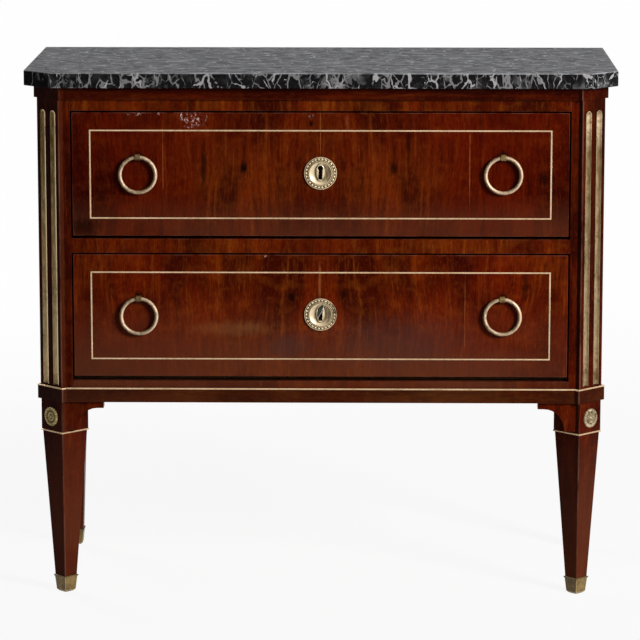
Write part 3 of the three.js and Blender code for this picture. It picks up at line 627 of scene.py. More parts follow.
# %% Node group: marble veins
def vein_group():
    sizes = {"Cells": "Float", "Width": "Float", "Wander": "Float"}
    tree, given, result = new_tree(
        "marble veins", "ShaderNodeTree", {"Place": "Vector", **sizes}, {"Mask": "Float"}
    )
    warp = add(
        tree,
        "ShaderNodeTexNoise",
        {"Vector": given["Place"], "Scale": 40.0, "Detail": 3.0, "Roughness": 0.55},
    ).outputs["Color"]
    warp = vector_of(tree, "SUBTRACT", (warp, (0.5, 0.5, 0.5)))
    warp = vector_of(tree, "MULTIPLY", (warp, given["Wander"]))
    cells = add(
        tree,
        "ShaderNodeTexVoronoi",
        {"Vector": vector_of(tree, "ADD", (given["Place"], warp)), "Scale": given["Cells"]},
        feature="DISTANCE_TO_EDGE",
    ).outputs["Distance"]
    fade = between(tree, noise(tree, given["Place"], (46, 46, 46), 3.0, 0.6), 0.42, 0.68)
    width = math_of(tree, "ADD", times(tree, given["Width"], fade), 0.0001)
    line = math_of(tree, "DIVIDE", cells, width)
    fill(tree, result, {"Mask": between(tree, line, 0.55, 1.0, 1.0, 0.0)})
    return tree


veins = vein_group()


def vein_mask(tree, place, cells, width, strength, wander):
    mask = use(tree, veins, Place=place, Cells=cells, Width=width, Wander=wander)["Mask"]
    return times(tree, mask, strength)


print("group:", veins.name)

# %% [markdown]
# The slab's edge is dark and polished. Its top is painted with a smeared grey haze under the
# veins, a painted reflection of the bright room, and the broad veins are painted paler there. The
# arris between top and edge is painted the same grey, a painted highlight. The way that the
# surface faces tells the top from the edge. Crushed stone fills the gaps between the veins in some
# places.

# %% Material: marble
DARK_STONE, GREY_STONE = rgb(0.006, 0.0056, 0.006), rgb(0.04, 0.0385, 0.0395)
CRUSHED_STONE = rgb(0.15, 0.146, 0.146)
FAINT_TOP_REFLECTION, BRIGHT_TOP_REFLECTION = rgb(0.06, 0.061, 0.066), rgb(0.34, 0.342, 0.355)
FINE_VEIN, MIDDLE_VEIN = rgb(0.17, 0.166, 0.166), rgb(0.19, 0.185, 0.185)
BROAD_VEIN, BROAD_VEIN_LIT_ON_TOP = rgb(0.3, 0.29, 0.29), rgb(0.42, 0.415, 0.42)


def marble():
    material, tree, shader, place = new_material("dark marble")
    steep = stretched(tree, place, (1, 1, 0.62))
    broken = between(tree, noise(tree, place, (17, 17, 17), 3.0, 0.6), 0.5, 0.62)
    flecks = noise(tree, place, (330, 330, 330), 3.0, 0.6)
    clouds = noise(tree, place, (55, 55, 55), 4.0, 0.6)
    color = mixed(tree, between(tree, clouds, 0.5, 0.72, 0.0, 0.45), DARK_STONE, GREY_STONE)
    color = mixed(tree, between(tree, flecks, 0.56, 0.7, 0.0, 0.3), color, GREY_STONE)
    stones = add(
        tree, "ShaderNodeTexVoronoi", {"Vector": steep, "Scale": 150.0}, feature="F1"
    ).outputs["Color"]
    crushed = between(tree, axis(tree, stones, "X"), 0.66, 0.82, 0.0, 0.5)
    color = mixed(tree, times(tree, crushed, broken), color, CRUSHED_STONE)
    facing_up = axis(tree, add(tree, "ShaderNodeTexCoord").outputs["Normal"], "Z")
    top = between(tree, facing_up, 0.6, 0.95)
    smears = noise(tree, place, (36, 62, 1), 8.0, 0.74)
    # The top's grey haze is a painted reflection of the bright room.
    top_reflection = mixed(tree, between(tree, smears, 0.34, 0.68), FAINT_TOP_REFLECTION, BRIGHT_TOP_REFLECTION)
    color = mixed(tree, times(tree, top, 0.85), color, top_reflection)
    fine = times(tree, vein_mask(tree, steep, 120.0, 0.14, 0.7, 0.01), broken)
    color = mixed(tree, fine, color, FINE_VEIN)
    color = mixed(tree, vein_mask(tree, steep, 62.0, 0.085, 0.8, 0.02), color, MIDDLE_VEIN)
    moved = stretched(tree, steep, (1, 1, 1), (3.3, 1.2, 0.7))
    # Broad veins are painted paler on the top, under the painted reflection.
    pale = mixed(tree, top, BROAD_VEIN, BROAD_VEIN_LIT_ON_TOP)
    color = mixed(tree, vein_mask(tree, moved, 30.0, 0.07, 0.95, 0.026), color, pale)
    # The arris is painted grey, a painted highlight.
    worn_and_lit = times(tree, mark_of(tree, "arris"), between(tree, facing_up, -0.1, 0.3))
    worn_and_lit = times(tree, worn_and_lit, between(tree, smears, 0.35, 0.6, 0.2, 0.8))
    color = mixed(tree, worn_and_lit, color, BRIGHT_TOP_REFLECTION)
    relief = bumped(tree, flecks, 0.3, 0.0004)
    surface = {"Roughness": 0.55, "Specular IOR Level": 0.01, "Normal": relief}
    fill(tree, shader, {"Base Color": color, **surface})
    return material


slab_marble = marble()
print("marble:", slab_marble.name)

# %% [markdown]
# ## Brass and iron
# The brass is old and only rubbed bright where hands and cloths reach. Its hollows keep an
# olive-brown patina, which is a crust and less metallic than the bright parts. One mask mixes
# colour, metal and roughness. The attribute arris brightens edges, partly as wear and partly as a
# painted highlight. A second attribute keeps the patina in grooves, and on the rings, flutes,
# keyhole plates and rosettes it also carries painted shade and painted highlights.

# %% Material: old metal
def metal(
    name, bright, patina_and_shade, patches=(0.35, 0.65), shine=0.24, scale=160,
    metallic=(0.35, 0.8), glint=0.3, edge=None, lit_crown=None,
):
    """edge is the colour of arrises, with wear and a painted highlight; above the heights of the
    last argument the dark share stops, a painted highlight.
    """
    material, tree, shader, place = new_material(name)
    fine = noise(tree, place, (scale, scale, scale), 4.0, 0.65)
    cloudy = noise(tree, place, (scale / 8, scale / 8, scale / 8), 2.0)
    rubbed_and_lit = times(tree, math_of(tree, "ADD", fine, cloudy), 0.5)
    rubbed_and_lit = between(tree, rubbed_and_lit, *patches)
    arris = mark_of(tree, "arris")
    # Arrises are rubbed bright: wear and a painted highlight.
    if not edge:
        rubbed_and_lit = math_of(tree, "MAXIMUM", rubbed_and_lit, times(tree, arris, 0.9))
    # The dark share is patina, and on some pieces painted shade.
    open_share = math_of(tree, "SUBTRACT", 1.0, mark_of(tree, "hollow_and_shaded"))
    if lit_crown:
        high_up = between(tree, axis(tree, place, "Z"), *lit_crown)
        open_share = math_of(tree, "MAXIMUM", open_share, high_up)
    rubbed_and_lit = times(tree, rubbed_and_lit, open_share)
    thin = noise(tree, place, (scale * 2, scale * 2, scale / 3), 3.0, 0.6)
    dull = mixed(tree, between(tree, thin, 0.42, 0.66, 0.0, 0.3), patina_and_shade, bright)
    color = mixed(tree, rubbed_and_lit, dull, bright)
    if edge:
        worn_and_lit = times(tree, times(tree, arris, 0.8), open_share)
        color = mixed(tree, worn_and_lit, color, edge)
    fill(
        tree,
        shader,
        {
            "Base Color": color,
            "Metallic": between(tree, rubbed_and_lit, 0.0, 1.0, *metallic),
            "Roughness": between(tree, rubbed_and_lit, 0.0, 1.0, 0.5, shine),
            "Specular IOR Level": glint,
            "Normal": bumped(tree, fine, 0.25, 0.0001),
        },
    )
    return material


print("metal can be rubbed at its edges and dull in its hollows")

# %% [markdown]
# Each kind of mount has aged its own way: the strips and collars, the drawn wire of the rings and
# their dull eyes, the cast plates and the foot caps, whose arrises carry a painted highlight. The
# flutes of the two posts are lit and shaded copies of one brass: the left ones are painted
# brighter, and the right ones darker, with a painted highlight at their tops. The locks are dull
# iron.

# %% Finishes of brass and iron
brass = metal("rubbed brass", rgb(0.71, 0.49, 0.3), rgb(0.36, 0.225, 0.11), metallic=(0.4, 0.55))
ring_brass = metal(
    "drawn brass wire", rgb(0.66, 0.48, 0.32), rgb(0.1, 0.062, 0.026), (0.3, 0.55), 0.42,
    metallic=(0.1, 0.25), glint=0.2,
)
plate_brass = metal(
    "cast brass", rgb(0.66, 0.52, 0.33), rgb(0.07, 0.046, 0.012), (0.38, 0.54), 0.3,
    metallic=(0.08, 0.3),
)
# A yellower copy of the plates' brass, made for the left rosette, which sits in shade.
shaded_rosette_brass = metal(
    "rosette brass", rgb(0.66, 0.5, 0.22), rgb(0.11, 0.075, 0.014), (0.36, 0.54), 0.34,
    metallic=(0.08, 0.3), glint=0.2,
)
# The foot caps' edge colour is wear and a painted highlight along their arrises.
cap_brass = metal(
    "foot brass", rgb(0.26, 0.165, 0.055), rgb(0.085, 0.05, 0.012), (0.38, 0.62), 0.42,
    scale=260, metallic=(0.12, 0.2), edge=rgb(0.5, 0.37, 0.19),
)
eye_brass = metal(
    "dull brass", rgb(0.17, 0.115, 0.05), rgb(0.06, 0.038, 0.012), (0.4, 0.6), 0.5,
    metallic=(0.1, 0.15), glint=0.1,
)
# Lit and shaded copies of one brass: the left flutes are painted bright and the right ones darker,
# with a painted highlight above a height.
lit_and_shaded_flute_brass = {
    "left": metal(
        "flute brass, left", rgb(0.98, 0.77, 0.47), rgb(0.12, 0.075, 0.004), (0.25, 0.5), 0.45,
        metallic=(0.05, 0.6), glint=0.08,
    ),
    "right": metal(
        "flute brass, right", rgb(0.44, 0.33, 0.2), rgb(0.1, 0.06, 0.018), (0.36, 0.56), 0.4,
        metallic=(0.08, 0.2), glint=0.1, lit_crown=(0.7, 0.75),
    ),
}
drop_brass = metal(
    "green old brass", rgb(0.05, 0.052, 0.03), rgb(0.006, 0.01, 0.004), (0.45, 0.7), 0.4,
    metallic=(0.1, 0.2), glint=0.15, edge=rgb(0.62, 0.56, 0.6),
)
lock_iron = metal(
    "lock iron", rgb(0.035, 0.03, 0.027), rgb(0.02, 0.013, 0.009), shine=0.6, metallic=(0.1, 0.2)
)
print("metals ready, the last is", lock_iron.name)

# %% [markdown]
# ## Pine
# The drawers are lined with bare pine, and the boards and the back are pine too. It has the same
# kind of figure in paler colours and with less contrast, and its open pores give a stronger bump
# than they do under polish.

# %% Materials: pine
PINE_TONES = {
    "Dark": rgb(0.2, 0.1, 0.04),
    "Middle": rgb(0.36, 0.21, 0.1),
    "Light": rgb(0.5, 0.33, 0.17),
    "Contrast": 0.6,
}


def pine(name, along, shift=(0, 0, 0)):
    material, tree, shader, place = new_material(name)
    wood = use(tree, figure, Place=along_grain(tree, place, along, shift), **PINE_TONES)
    relief = bumped(tree, wood["Pores"], 0.5, 0.0003, invert=True)
    surface = {"Roughness": 0.7, "Specular IOR Level": 0.25, "Normal": relief}
    fill(tree, shader, {"Base Color": wood["Color"], **surface})
    return material


pine_upright = pine("pine, upright", "Z")
pine_across = pine("pine, across", "X", (1.2, 0.4, 2.2))
pine_deep = pine("pine, front to back", "Y", (0.3, 3.1, 0.9))
print("materials:", len(bpy.data.materials))

# %% [markdown]
# ## Dressing a imported piece
# A finished piece stands for one of the imported model: it rides with the same body. Its modifiers
# are applied first, because only plain meshes are kept. Its normals are weighted by the size of
# the faces, so large flat faces stay flat beside a narrow bevel.

# %% Helpers: making and finishing a piece
def as_piece(name, form):
    mesh = bpy.data.meshes.new(name)
    form.to_mesh(mesh)
    form.free()
    return in_scene(name, mesh)


def settle(thing):
    """Applies a piece's modifiers, so that a plain mesh is left."""
    graph = bpy.context.evaluated_depsgraph_get()
    mesh = bpy.data.meshes.new_from_object(
        thing.evaluated_get(graph), preserve_all_data_layers=True, depsgraph=graph
    )
    thing.modifiers.clear()
    thing.data = mesh
    return thing


def smooth(thing, angle=40):
    """Shades a piece smoothly, apart from edges sharper than an angle in degrees."""
    mesh = thing.data
    mesh.polygons.foreach_set("use_smooth", [True] * len(mesh.polygons))
    mesh.set_sharp_from_angle(angle=math.radians(angle))
    even = thing.modifiers.new("even shading", "WEIGHTED_NORMAL")
    even.keep_sharp = True
    return settle(thing)


def stand_for(thing, material, node):
    """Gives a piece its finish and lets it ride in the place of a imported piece."""
    thing.data.materials.clear()
    thing.data.materials.append(material)
    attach(thing, body_of[node])
    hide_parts(node)
    return thing


print("packed pieces to stand for:", len(body_of))

# %% [markdown]
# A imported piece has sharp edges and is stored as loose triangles. Real cabinet work has its
# arrises just broken, and that thin bevel is what catches the light. So a copy is merged, its flat
# faces are made whole, and its longer edges are bevelled, some of them rounder than the rest.

# %% Helper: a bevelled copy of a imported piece
MERGE_REACH = 0.002 * MM
FLAT_ANGLE, SHARP_ANGLE = math.radians(0.7), math.radians(30)
ROUND_STEPS = 5


def bevel(form, edges, width, steps, profile=0.5):
    """Bevels edges and marks the new faces as arris."""
    made = bmesh.ops.bevel(
        form, geom=edges, offset=width, offset_type="OFFSET", segments=steps, profile=profile,
        affect="EDGES", clamp_overlap=True,
    )
    mark = form.loops.layers.float.get("arris") or form.loops.layers.float.new("arris")
    for face in made["faces"]:
        for loop in face.loops:
            loop[mark] = 1.0


def dressed(node, material, width, shortest=8 * MM, steps=2, rounded=None, patina_and_shade=None):
    """rounded is (test of an edge's middle, width); the last argument gives how dark each point
    is, with crust and painted shade.
    """
    form = bmesh.new()
    form.from_mesh(frame["nodes"][node].data)
    bmesh.ops.remove_doubles(form, verts=form.verts, dist=MERGE_REACH)
    bmesh.ops.dissolve_limit(form, angle_limit=FLAT_ANGLE, verts=form.verts, edges=form.edges)

    def sharp_edges():
        return [
            edge
            for edge in form.edges
            if len(edge.link_faces) == 2
            and edge.calc_face_angle() > SHARP_ANGLE
            and edge.calc_length() > shortest
        ]

    if rounded:
        test, radius = rounded
        chosen = [e for e in sharp_edges() if test((e.verts[0].co + e.verts[1].co) / 2, e)]
        bevel(form, chosen, radius, ROUND_STEPS)
    bevel(form, sharp_edges(), width, steps)
    if patina_and_shade:
        mark = form.verts.layers.float.new("hollow_and_shaded")
        for vert in form.verts:
            vert[mark] = patina_and_shade(vert.co)
    return stand_for(smooth(as_piece(node + "_dressed", form)), material, node)


def count_dressed():
    return sum(thing.name.endswith("_dressed") for thing in bpy.data.objects)


print("pieces dressed so far:", count_dressed())

# %% [markdown]
# Mouldings and posts are handled most, so their arrises are rounder than those of the rails, and
# the arris that each post turns to the front is the roundest. The slab's arris was rubbed round
# with the polish. Boards inside the chest were only planed.

# %% Dress the carcase
SIDES = {"left": -1, "right": 1}
ARRIS, MOULDING_ARRIS, SLAB_ARRIS = 0.7 * MM, 1.0 * MM, 1.2 * MM
RAIL_ARRIS, BOARD_ARRIS = 0.4 * MM, 0.5 * MM
POST_X, POST_Y = 405.0, -152.94  # a front post's axis, in millimetres
POST_REACH = 2.5 * MM


def on_front_arris(middle, edge):
    """True on the upright arris that a post, its block and its leg turn to the front."""
    run = edge.verts[1].co - edge.verts[0].co
    upright = abs(run.z) > 0.9 * run.length
    at_axis = abs(abs(middle.x) - POST_X * MM) < POST_REACH
    return upright and at_axis and middle.y < POST_Y * MM


front_arris = (on_front_arris, 1.7 * MM)
for side in SIDES:
    dressed("front_leg_" + side, wood_posts, ARRIS, rounded=front_arris)
    dressed("bracket_" + side, wood_posts, ARRIS)
    dressed("back_leg_" + side, wood_posts, ARRIS)
    dressed("side_panel_" + side, wood_panels, ARRIS)
dressed("frieze_moulding", wood_frieze, MOULDING_ARRIS, rounded=front_arris)
dressed("plinth_moulding", wood_plinth, MOULDING_ARRIS, rounded=front_arris)
for node in ("top_rail", "middle_rail", "bottom_rail"):
    dressed(node, wood_rails, RAIL_ARRIS)
dressed("marble_top", slab_marble, SLAB_ARRIS, steps=3)
for node in ("dust_board", "bottom_board", "top_board"):
    dressed(node, pine_across, BOARD_ARRIS)
print("carcase pieces dressed:", count_dressed())

# %% [markdown]
# One side of each flute's lining and its rounded head are painted bright, as painted highlights,
# and the lining is also brighter near its foot. Its trough keeps the patina. On the left post a
# bright and a dull half meet sharply, and on the right they blend. A foot cap is dark in the band
# under its upper rim.

# %% Dress the carcase brass
FLUTE_HALF, HEAD_REACH = 6.2 * MM, 4 * MM
FLUTE_LIGHT = {"left": (-0.4, 0.1, 1.0), "right": (-0.7, 0.5, 0.45)}  # from, to, share
HEAD_SHARE, FOOT_SHARE = 0.6, 0.45
BAND_START, BAND_FULL, BAND_SHARE = 3.2 * MM, 2.2 * MM, 0.9


def smooth_step(low, high, given):
    share = min(1.0, max(0.0, (given - low) / (high - low)))
    return share * share * (3 - 2 * share)


def flute_painted_light(node, side):
    """How dark a point of a lining is, from its place across and along the flute; its bright side
    and head are painted highlights.
    """
    low, high = (Vector(corner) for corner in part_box(node))
    middle = (low + high) / 2
    inward = Vector((-SIDES[side], -1, 0)).normalized()
    start, end, share = FLUTE_LIGHT[side]

    def patina_and_shade(point):
        across = (point - middle).dot(inward) / FLUTE_HALF
        # Painted highlights along one side of the flute and on its rounded head; the lining is
        # also lighter near its foot.
        rubbed_and_lit = share * smooth_step(start, end, across)
        foot = FOOT_SHARE * smooth_step(middle.z, low.z, point.z)
        head = HEAD_SHARE * smooth_step(high.z - HEAD_REACH, high.z, point.z)
        return 1.0 - max(rubbed_and_lit, foot, head)

    return patina_and_shade


def cap_patina(node):
    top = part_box(node)[1][2]
    return lambda point: BAND_SHARE * smooth_step(top - BAND_START, top - BAND_FULL, point.z)


for side in SIDES:
    for end in ("front", "back"):
        dressed("collar_" + end + "_" + side, brass, 0.4 * MM)
        cap = "foot_cap_" + end + "_" + side
        dressed(cap, cap_brass, 0.6 * MM, shortest=4 * MM, patina_and_shade=cap_patina(cap))
    for which in ("inner", "outer"):
        lining = "flute_lining_" + side + "_" + which
        patina_and_shade = flute_painted_light(lining, side)
        dressed(lining, lit_and_shaded_flute_brass[side], 0.3 * MM, shortest=0.4 * MM, patina_and_shade=patina_and_shade)
dressed("plinth_brass_strip", brass, 0.35 * MM)
print("with the carcase brass:", count_dressed())

# %% [markdown]
# A drawer front fits its opening closely, so its arrises are crisp. The brass string was let into
# the veneer and scraped level. The eyes that carry the rings differ: the left ones are duller.

# %% Dress the drawers
for name, wood in (("upper", wood_upper), ("lower", wood_lower)):
    dressed(name + "_drawer_front", wood, 0.3 * MM)
    dressed(name + "_drawer_string", brass, 0.3 * MM)
    for side, finish in (("left", eye_brass), ("right", cap_brass)):
        dressed(name + "_drawer_side_" + side, pine_deep, BOARD_ARRIS)
        dressed(name + "_pull_eye_" + side, finish, 0.8 * MM, shortest=1 * MM, steps=3)
    dressed(name + "_drawer_back", pine_across, BOARD_ARRIS)
    dressed(name + "_drawer_bottom", pine_across, 0.4 * MM)
    dressed(name + "_lock_case", lock_iron, 0.4 * MM)
    dressed(name + "_lock_bolt", lock_iron, 0.4 * MM)
print("with the drawers:", count_dressed())

# %% [markdown]
# ## Turned plates and rings
# The keyhole plates and rosettes were cast and then turned, and each is skinned here as loops from
# its middle to its back edge. Each loop says how deep it lies, so the patina can gather there, and
# some loops also carry painted shade.

# %% Helpers: loops and the skin between them
def skin(form, inner, outer):
    """Faces between two closed loops of vertices."""
    count = len(inner)
    for i in range(count):
        j = (i + 1) % count
        form.faces.new((inner[i], inner[j], outer[j], outer[i]))


def loft(name, rows, pierced):
    """Skins closed loops of points. A row is (points, dark share), with one value or one a point;
    the share is of crust and painted shade.
    """
    form = bmesh.new()
    mark = form.verts.layers.float.new("hollow_and_shaded")
    loops = []
    for points, hollow_and_shaded in rows:
        loops.append([form.verts.new(point) for point in points])
        depths = hollow_and_shaded if isinstance(hollow_and_shaded, list) else [hollow_and_shaded] * len(points)
        for vert, depth in zip(loops[-1], depths):
            vert[mark] = depth
    for inner, outer in zip(loops, loops[1:]):
        skin(form, inner, outer)
    if pierced:
        skin(form, loops[-1], loops[0])
    else:
        form.faces.new(loops[0])
        form.faces.new(loops[-1])
    bmesh.ops.recalc_face_normals(form, faces=form.faces)
    return as_piece(name, form)


def circle(radius, height, steps):
    """A loop round the axis of a plate that faces the front; sizes in millimetres."""
    turns = [2 * math.pi * (i + 0.5) / steps for i in range(steps)]
    return [
        Vector((math.sin(a) * radius, -height, math.cos(a) * radius)) * MM for a in turns
    ]


print("helpers ready: skin, loft and circle")

# %% [markdown]
# ## Geometry nodes
# What repeats on the chest is set out by geometry nodes, which place copies of one small shape on
# points. Each group ends with real geometry and a material, because the export drops instances.
# Its result is kept as a plain mesh, and the modifier is removed.

# %% Helpers for geometry nodes
def moved(tree, geometry, turn, shift=(0, 0, 0)):
    return add(
        tree,
        "GeometryNodeTransform",
        {"Geometry": geometry, "Translation": shift, "Rotation": turn},
    ).outputs[0]


def made_real(tree, copies, material):
    real = add(tree, "GeometryNodeRealizeInstances", {"Geometry": copies}).outputs[0]
    return add(
        tree, "GeometryNodeSetMaterial", {"Geometry": real, "Material": material}
    ).outputs[0]


def grown(thing, group, material, **settings):
    """Runs a group on a piece and keeps the plain mesh; a socket's spaces are written as _."""
    thing.data.materials.append(material)
    modifier = thing.modifiers.new(group.name, "NODES")
    modifier.node_group = group
    settings["Material"] = material
    for item in group.interface.items_tree:
        key = item.name.replace(" ", "_")
        if item.in_out == "INPUT" and key in settings:
            modifier[item.identifier] = settings[key]
    return settle(thing)


print("helpers ready: moved, made_real and grown")

# %% [markdown]
# A keyhole plate has a border of equal beads. This group sets one bead on each point of a circle,
# turns it outwards and joins the beads to the plate.

# %% Geometry nodes: a ring of beads
BEAD_SEGMENTS, BEAD_RINGS = 12, 8


def bead_ring_group():
    sizes = {"Count": "Int", "Ring Radius": "Float", "Ring Height": "Float", "Bead": "Vector"}
    tree, given, result = new_tree(
        "ring of beads",
        "GeometryNodeTree",
        {"Plate": "Geometry", **sizes, "Material": "Material"},
        {"Plate": "Geometry"},
    )
    ring = {"Vertices": given["Count"], "Radius": given["Ring Radius"]}
    ring = add(tree, "GeometryNodeMeshCircle", ring).outputs["Mesh"]
    ball = {"Segments": BEAD_SEGMENTS, "Rings": BEAD_RINGS, "Radius": 1.0}
    ball = add(tree, "GeometryNodeMeshUVSphere", ball).outputs["Mesh"]
    ball = add(tree, "GeometryNodeSetShadeSmooth", {"Geometry": ball}).outputs[0]
    index = add(tree, "GeometryNodeInputIndex").outputs[0]
    turn = times(tree, math_of(tree, "DIVIDE", index, given["Count"]), 2 * math.pi)
    turn = add(tree, "ShaderNodeCombineXYZ", {"Z": turn}).outputs[0]
    beads = add(
        tree,
        "GeometryNodeInstanceOnPoints",
        {"Points": ring, "Instance": ball, "Rotation": turn, "Scale": given["Bead"]},
    ).outputs[0]
    forward = times(tree, given["Ring Height"], -1.0)
    forward = add(tree, "ShaderNodeCombineXYZ", {"Y": forward}).outputs[0]
    beads = moved(tree, beads, (math.pi / 2, 0, 0), forward)
    both = tree.nodes.new("GeometryNodeJoinGeometry")
    tree.links.new(given["Plate"], both.inputs[0])
    tree.links.new(made_real(tree, beads, given["Material"]), both.inputs[0])
    fill(tree, result, {"Plate": both.outputs[0]})
    return tree


bead_ring = bead_ring_group()


print("group:", bead_ring.name)

# %% [markdown]
# A keyhole plate is pierced by its keyhole. Its inner loops grow from the keyhole's outline to the
# oval boss round it, then a bowl rises to a raised band, and the beads lie in a channel outside
# it. The bowl is painted darker towards the right, a painted dark reflection, and the rim has
# painted shade on its left.

# %% Outlines of a keyhole plate
KEYHOLE_HEAD, KEYHOLE_WAIST, KEYHOLE_FOOT = 4.0, 2.5, 3.8
KEYHOLE_LENGTH, KEYHOLE_RISE = 17.3, 8.0
BOSS_WIDTH, BOSS_HEIGHT, BOSS_MIDDLE = 7.5, 13.55, 1.35
BOWL_RADIUS, BOWL_BOTTOM, BOWL_RISE = 16.9, 0.3, 3.2
PLATE_STEPS = 96


def keyhole_edge(angle):
    """Where a ray from the keyhole's neck meets its outline, in millimetres."""
    neck = -math.sqrt(KEYHOLE_HEAD**2 - KEYHOLE_WAIST**2)
    x, z = math.sin(angle), math.cos(angle)
    if z > 0:
        half = neck * z
        far = -half + math.sqrt(half * half - neck * neck + KEYHOLE_HEAD**2)
    else:
        flare = (KEYHOLE_FOOT - KEYHOLE_WAIST) / (KEYHOLE_LENGTH + neck)
        side = KEYHOLE_WAIST / max(abs(x) + flare * z, 1e-6)
        foot = (KEYHOLE_LENGTH + neck) / max(-z, 1e-6)
        far = min(side, foot)
    return x * far, neck + KEYHOLE_RISE + z * far


def boss_loop(share, height):
    """A loop between the keyhole's outline (share 0) and the boss's foot (share 1)."""
    points = []
    for i in range(PLATE_STEPS):
        angle = 2 * math.pi * (i + 0.5) / PLATE_STEPS
        kx, kz = keyhole_edge(angle)
        ex, ez = BOSS_WIDTH * math.sin(angle), BOSS_MIDDLE + BOSS_HEIGHT * math.cos(angle)
        x, z = kx + (ex - kx) * share, kz + (ez - kz) * share
        points.append(Vector((x, -height, z)) * MM)
    return points


def bowl_loop(share):
    """A loop of the bowl between the boss's foot (share 0) and the bowl's rim (share 1)."""
    points, depths = [], []
    for foot, rim in zip(boss_loop(1.0, 0.0), circle(BOWL_RADIUS, 0.0, PLATE_STEPS)):
        point = foot.lerp(rim, share)
        radius = math.hypot(point.x, point.z) / MM
        point.y = -(BOWL_BOTTOM + BOWL_RISE * (radius / BOWL_RADIUS) ** 3) * MM
        points.append(point)
        # Painted dark reflection on the right of the bowl.
        dark_reflection = 0.85 * smooth_step(-1.0, 13.0, point.x / MM)
        depths.append(min(1.0, dark_reflection + 0.8 * (1 - share) ** 3))
    return points, depths


def band_loop(radius, height, hollow_and_shaded):
    """A loop of the plate's rim, with painted shade on its left."""
    points = circle(radius, height, PLATE_STEPS)
    # Painted shade on the left of the rim.
    tarnish_and_shade = [0.5 * smooth_step(4.0, -16.0, point.x / MM) for point in points]
    return points, [min(1.0, hollow_and_shaded + more) for more in tarnish_and_shade]


print("keyhole top and foot:", keyhole_edge(0.0), keyhole_edge(math.pi))

# %% [markdown]
# The plate's profile is a short table, like a turner's template: how far out each loop lies, how
# high it stands and how hollow it is. Both plates share it.

# %% Keyhole plates
BOSS_PROFILE = (  # share of the way to the boss's foot, height, hollow
    (0.0, 0.0, 1.0), (0.0, 3.4, 0.95), (0.1, 4.1, 0.3), (0.3, 4.4, 0.0), (0.6, 4.2, 0.0),
    (0.85, 3.2, 0.4),
)
BOWL_SHARES = (0.0, 0.12, 0.3, 0.5, 0.7, 0.86, 1.0)
BAND_PROFILE = (  # radius, height, hollow
    (17.3, 3.85, 0.0), (17.8, 3.8, 0.0), (18.2, 2.7, 1.0), (18.7, 2.6, 1.0), (19.1, 3.2, 0.05),
    (19.5, 3.4, 0.0), (20.0, 2.9, 0.3), (20.3, 1.7, 1.0), (20.6, 1.2, 1.0), (23.6, 1.2, 1.0),
    (23.9, 1.9, 0.8), (24.3, 2.6, 0.0), (25.0, 2.6, 0.0), (25.5, 1.7, 0.3), (25.5, 0.0, 0.8),
)
BEADS = 26
BEAD_CIRCLE, BEAD_LIFT = 22.1 * MM, 1.4 * MM
BEAD_SIZE = (1.5 * MM, 2.05 * MM, 1.5 * MM)
PLATE_Z = {"upper": 674.5, "lower": 452.5}
PLATE_BACK = -183.3
PLATE_ANGLE = 50

plate_rows = [(boss_loop(share, height), hollow_and_shaded) for share, height, hollow_and_shaded in BOSS_PROFILE]
plate_rows += [bowl_loop(share) for share in BOWL_SHARES]
plate_rows += [band_loop(*row) for row in BAND_PROFILE]
for name, z in PLATE_Z.items():
    plate = smooth(loft(name + "_escutcheon_plate", plate_rows, pierced=True), PLATE_ANGLE)
    grown(
        plate, bead_ring, plate_brass,
        Count=BEADS, Ring_Radius=BEAD_CIRCLE, Ring_Height=BEAD_LIFT, Bead=BEAD_SIZE,
    )
    plate.data.transform(Matrix.Translation(Vector((0, PLATE_BACK, z)) * MM))
    stand_for(plate, plate_brass, name + "_escutcheon")
    print(name, "box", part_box(name + "_escutcheon"))

# %% [markdown]
# A rosette has a button, a ring round it and a rim of small lobes, like the tips of leaves. The
# same loops serve, and a cosine lets the rim's loops rise and fall, with patina between the lobes.
# The rosettes sit on the canted faces, so each is turned 45 degrees and moved out from its post.

# %% Rosettes
ROSETTE_Z = 286.5
ROSETTE_OUT = 25.3  # post's axis to the rosette's back
ROSETTE_STEPS = 132
LOBES, LOBE_DEPTH, LOBE_START = 22, 0.3, 10.5
LOBE_SPREAD, LOBE_TARNISH = 0.4, 0.35
ROSETTE_PROFILE = (  # radius, height, hollow
    (0.4, 3.4, 0.0), (1.4, 3.2, 0.0), (2.4, 2.6, 0.2), (3.2, 1.8, 0.8), (4.1, 1.6, 0.9),
    (5.0, 2.2, 0.1), (6.0, 2.6, 0.0), (7.0, 2.2, 0.1), (7.8, 1.3, 0.9), (8.6, 0.8, 1.0),
    (9.5, 0.8, 1.0), (10.1, 1.4, 0.8), (10.8, 2.3, 0.1), (12.1, 3.0, 0.0), (13.5, 2.9, 0.0),
    (14.6, 2.1, 0.1), (15.2, 1.0, 0.5), (15.3, 0.0, 0.9),
)
# The left rosette, on a face in shade, takes its own copy of the brass, and its larger tarnish is
# painted shade.
ROSETTE_FINISH = {"left": (shaded_rosette_brass, 0.25), "right": (plate_brass, 0.1)}  # with its tarnish


def rosette_loop(radius, height, hollow_and_shaded, tarnish_and_shade):
    points, depths = [], []
    for i, point in enumerate(circle(radius, height, ROSETTE_STEPS)):
        depth = hollow_and_shaded + tarnish_and_shade
        if radius > LOBE_START and height > 0:
            wave = math.cos(LOBES * 2 * math.pi * (i + 0.5) / ROSETTE_STEPS)
            point *= 1 + LOBE_SPREAD * LOBE_DEPTH * wave / radius
            point.y -= LOBE_DEPTH * wave * MM
            depth += LOBE_TARNISH * (1 - wave) / 2
        points.append(point)
        depths.append(min(1.0, depth))
    return points, depths


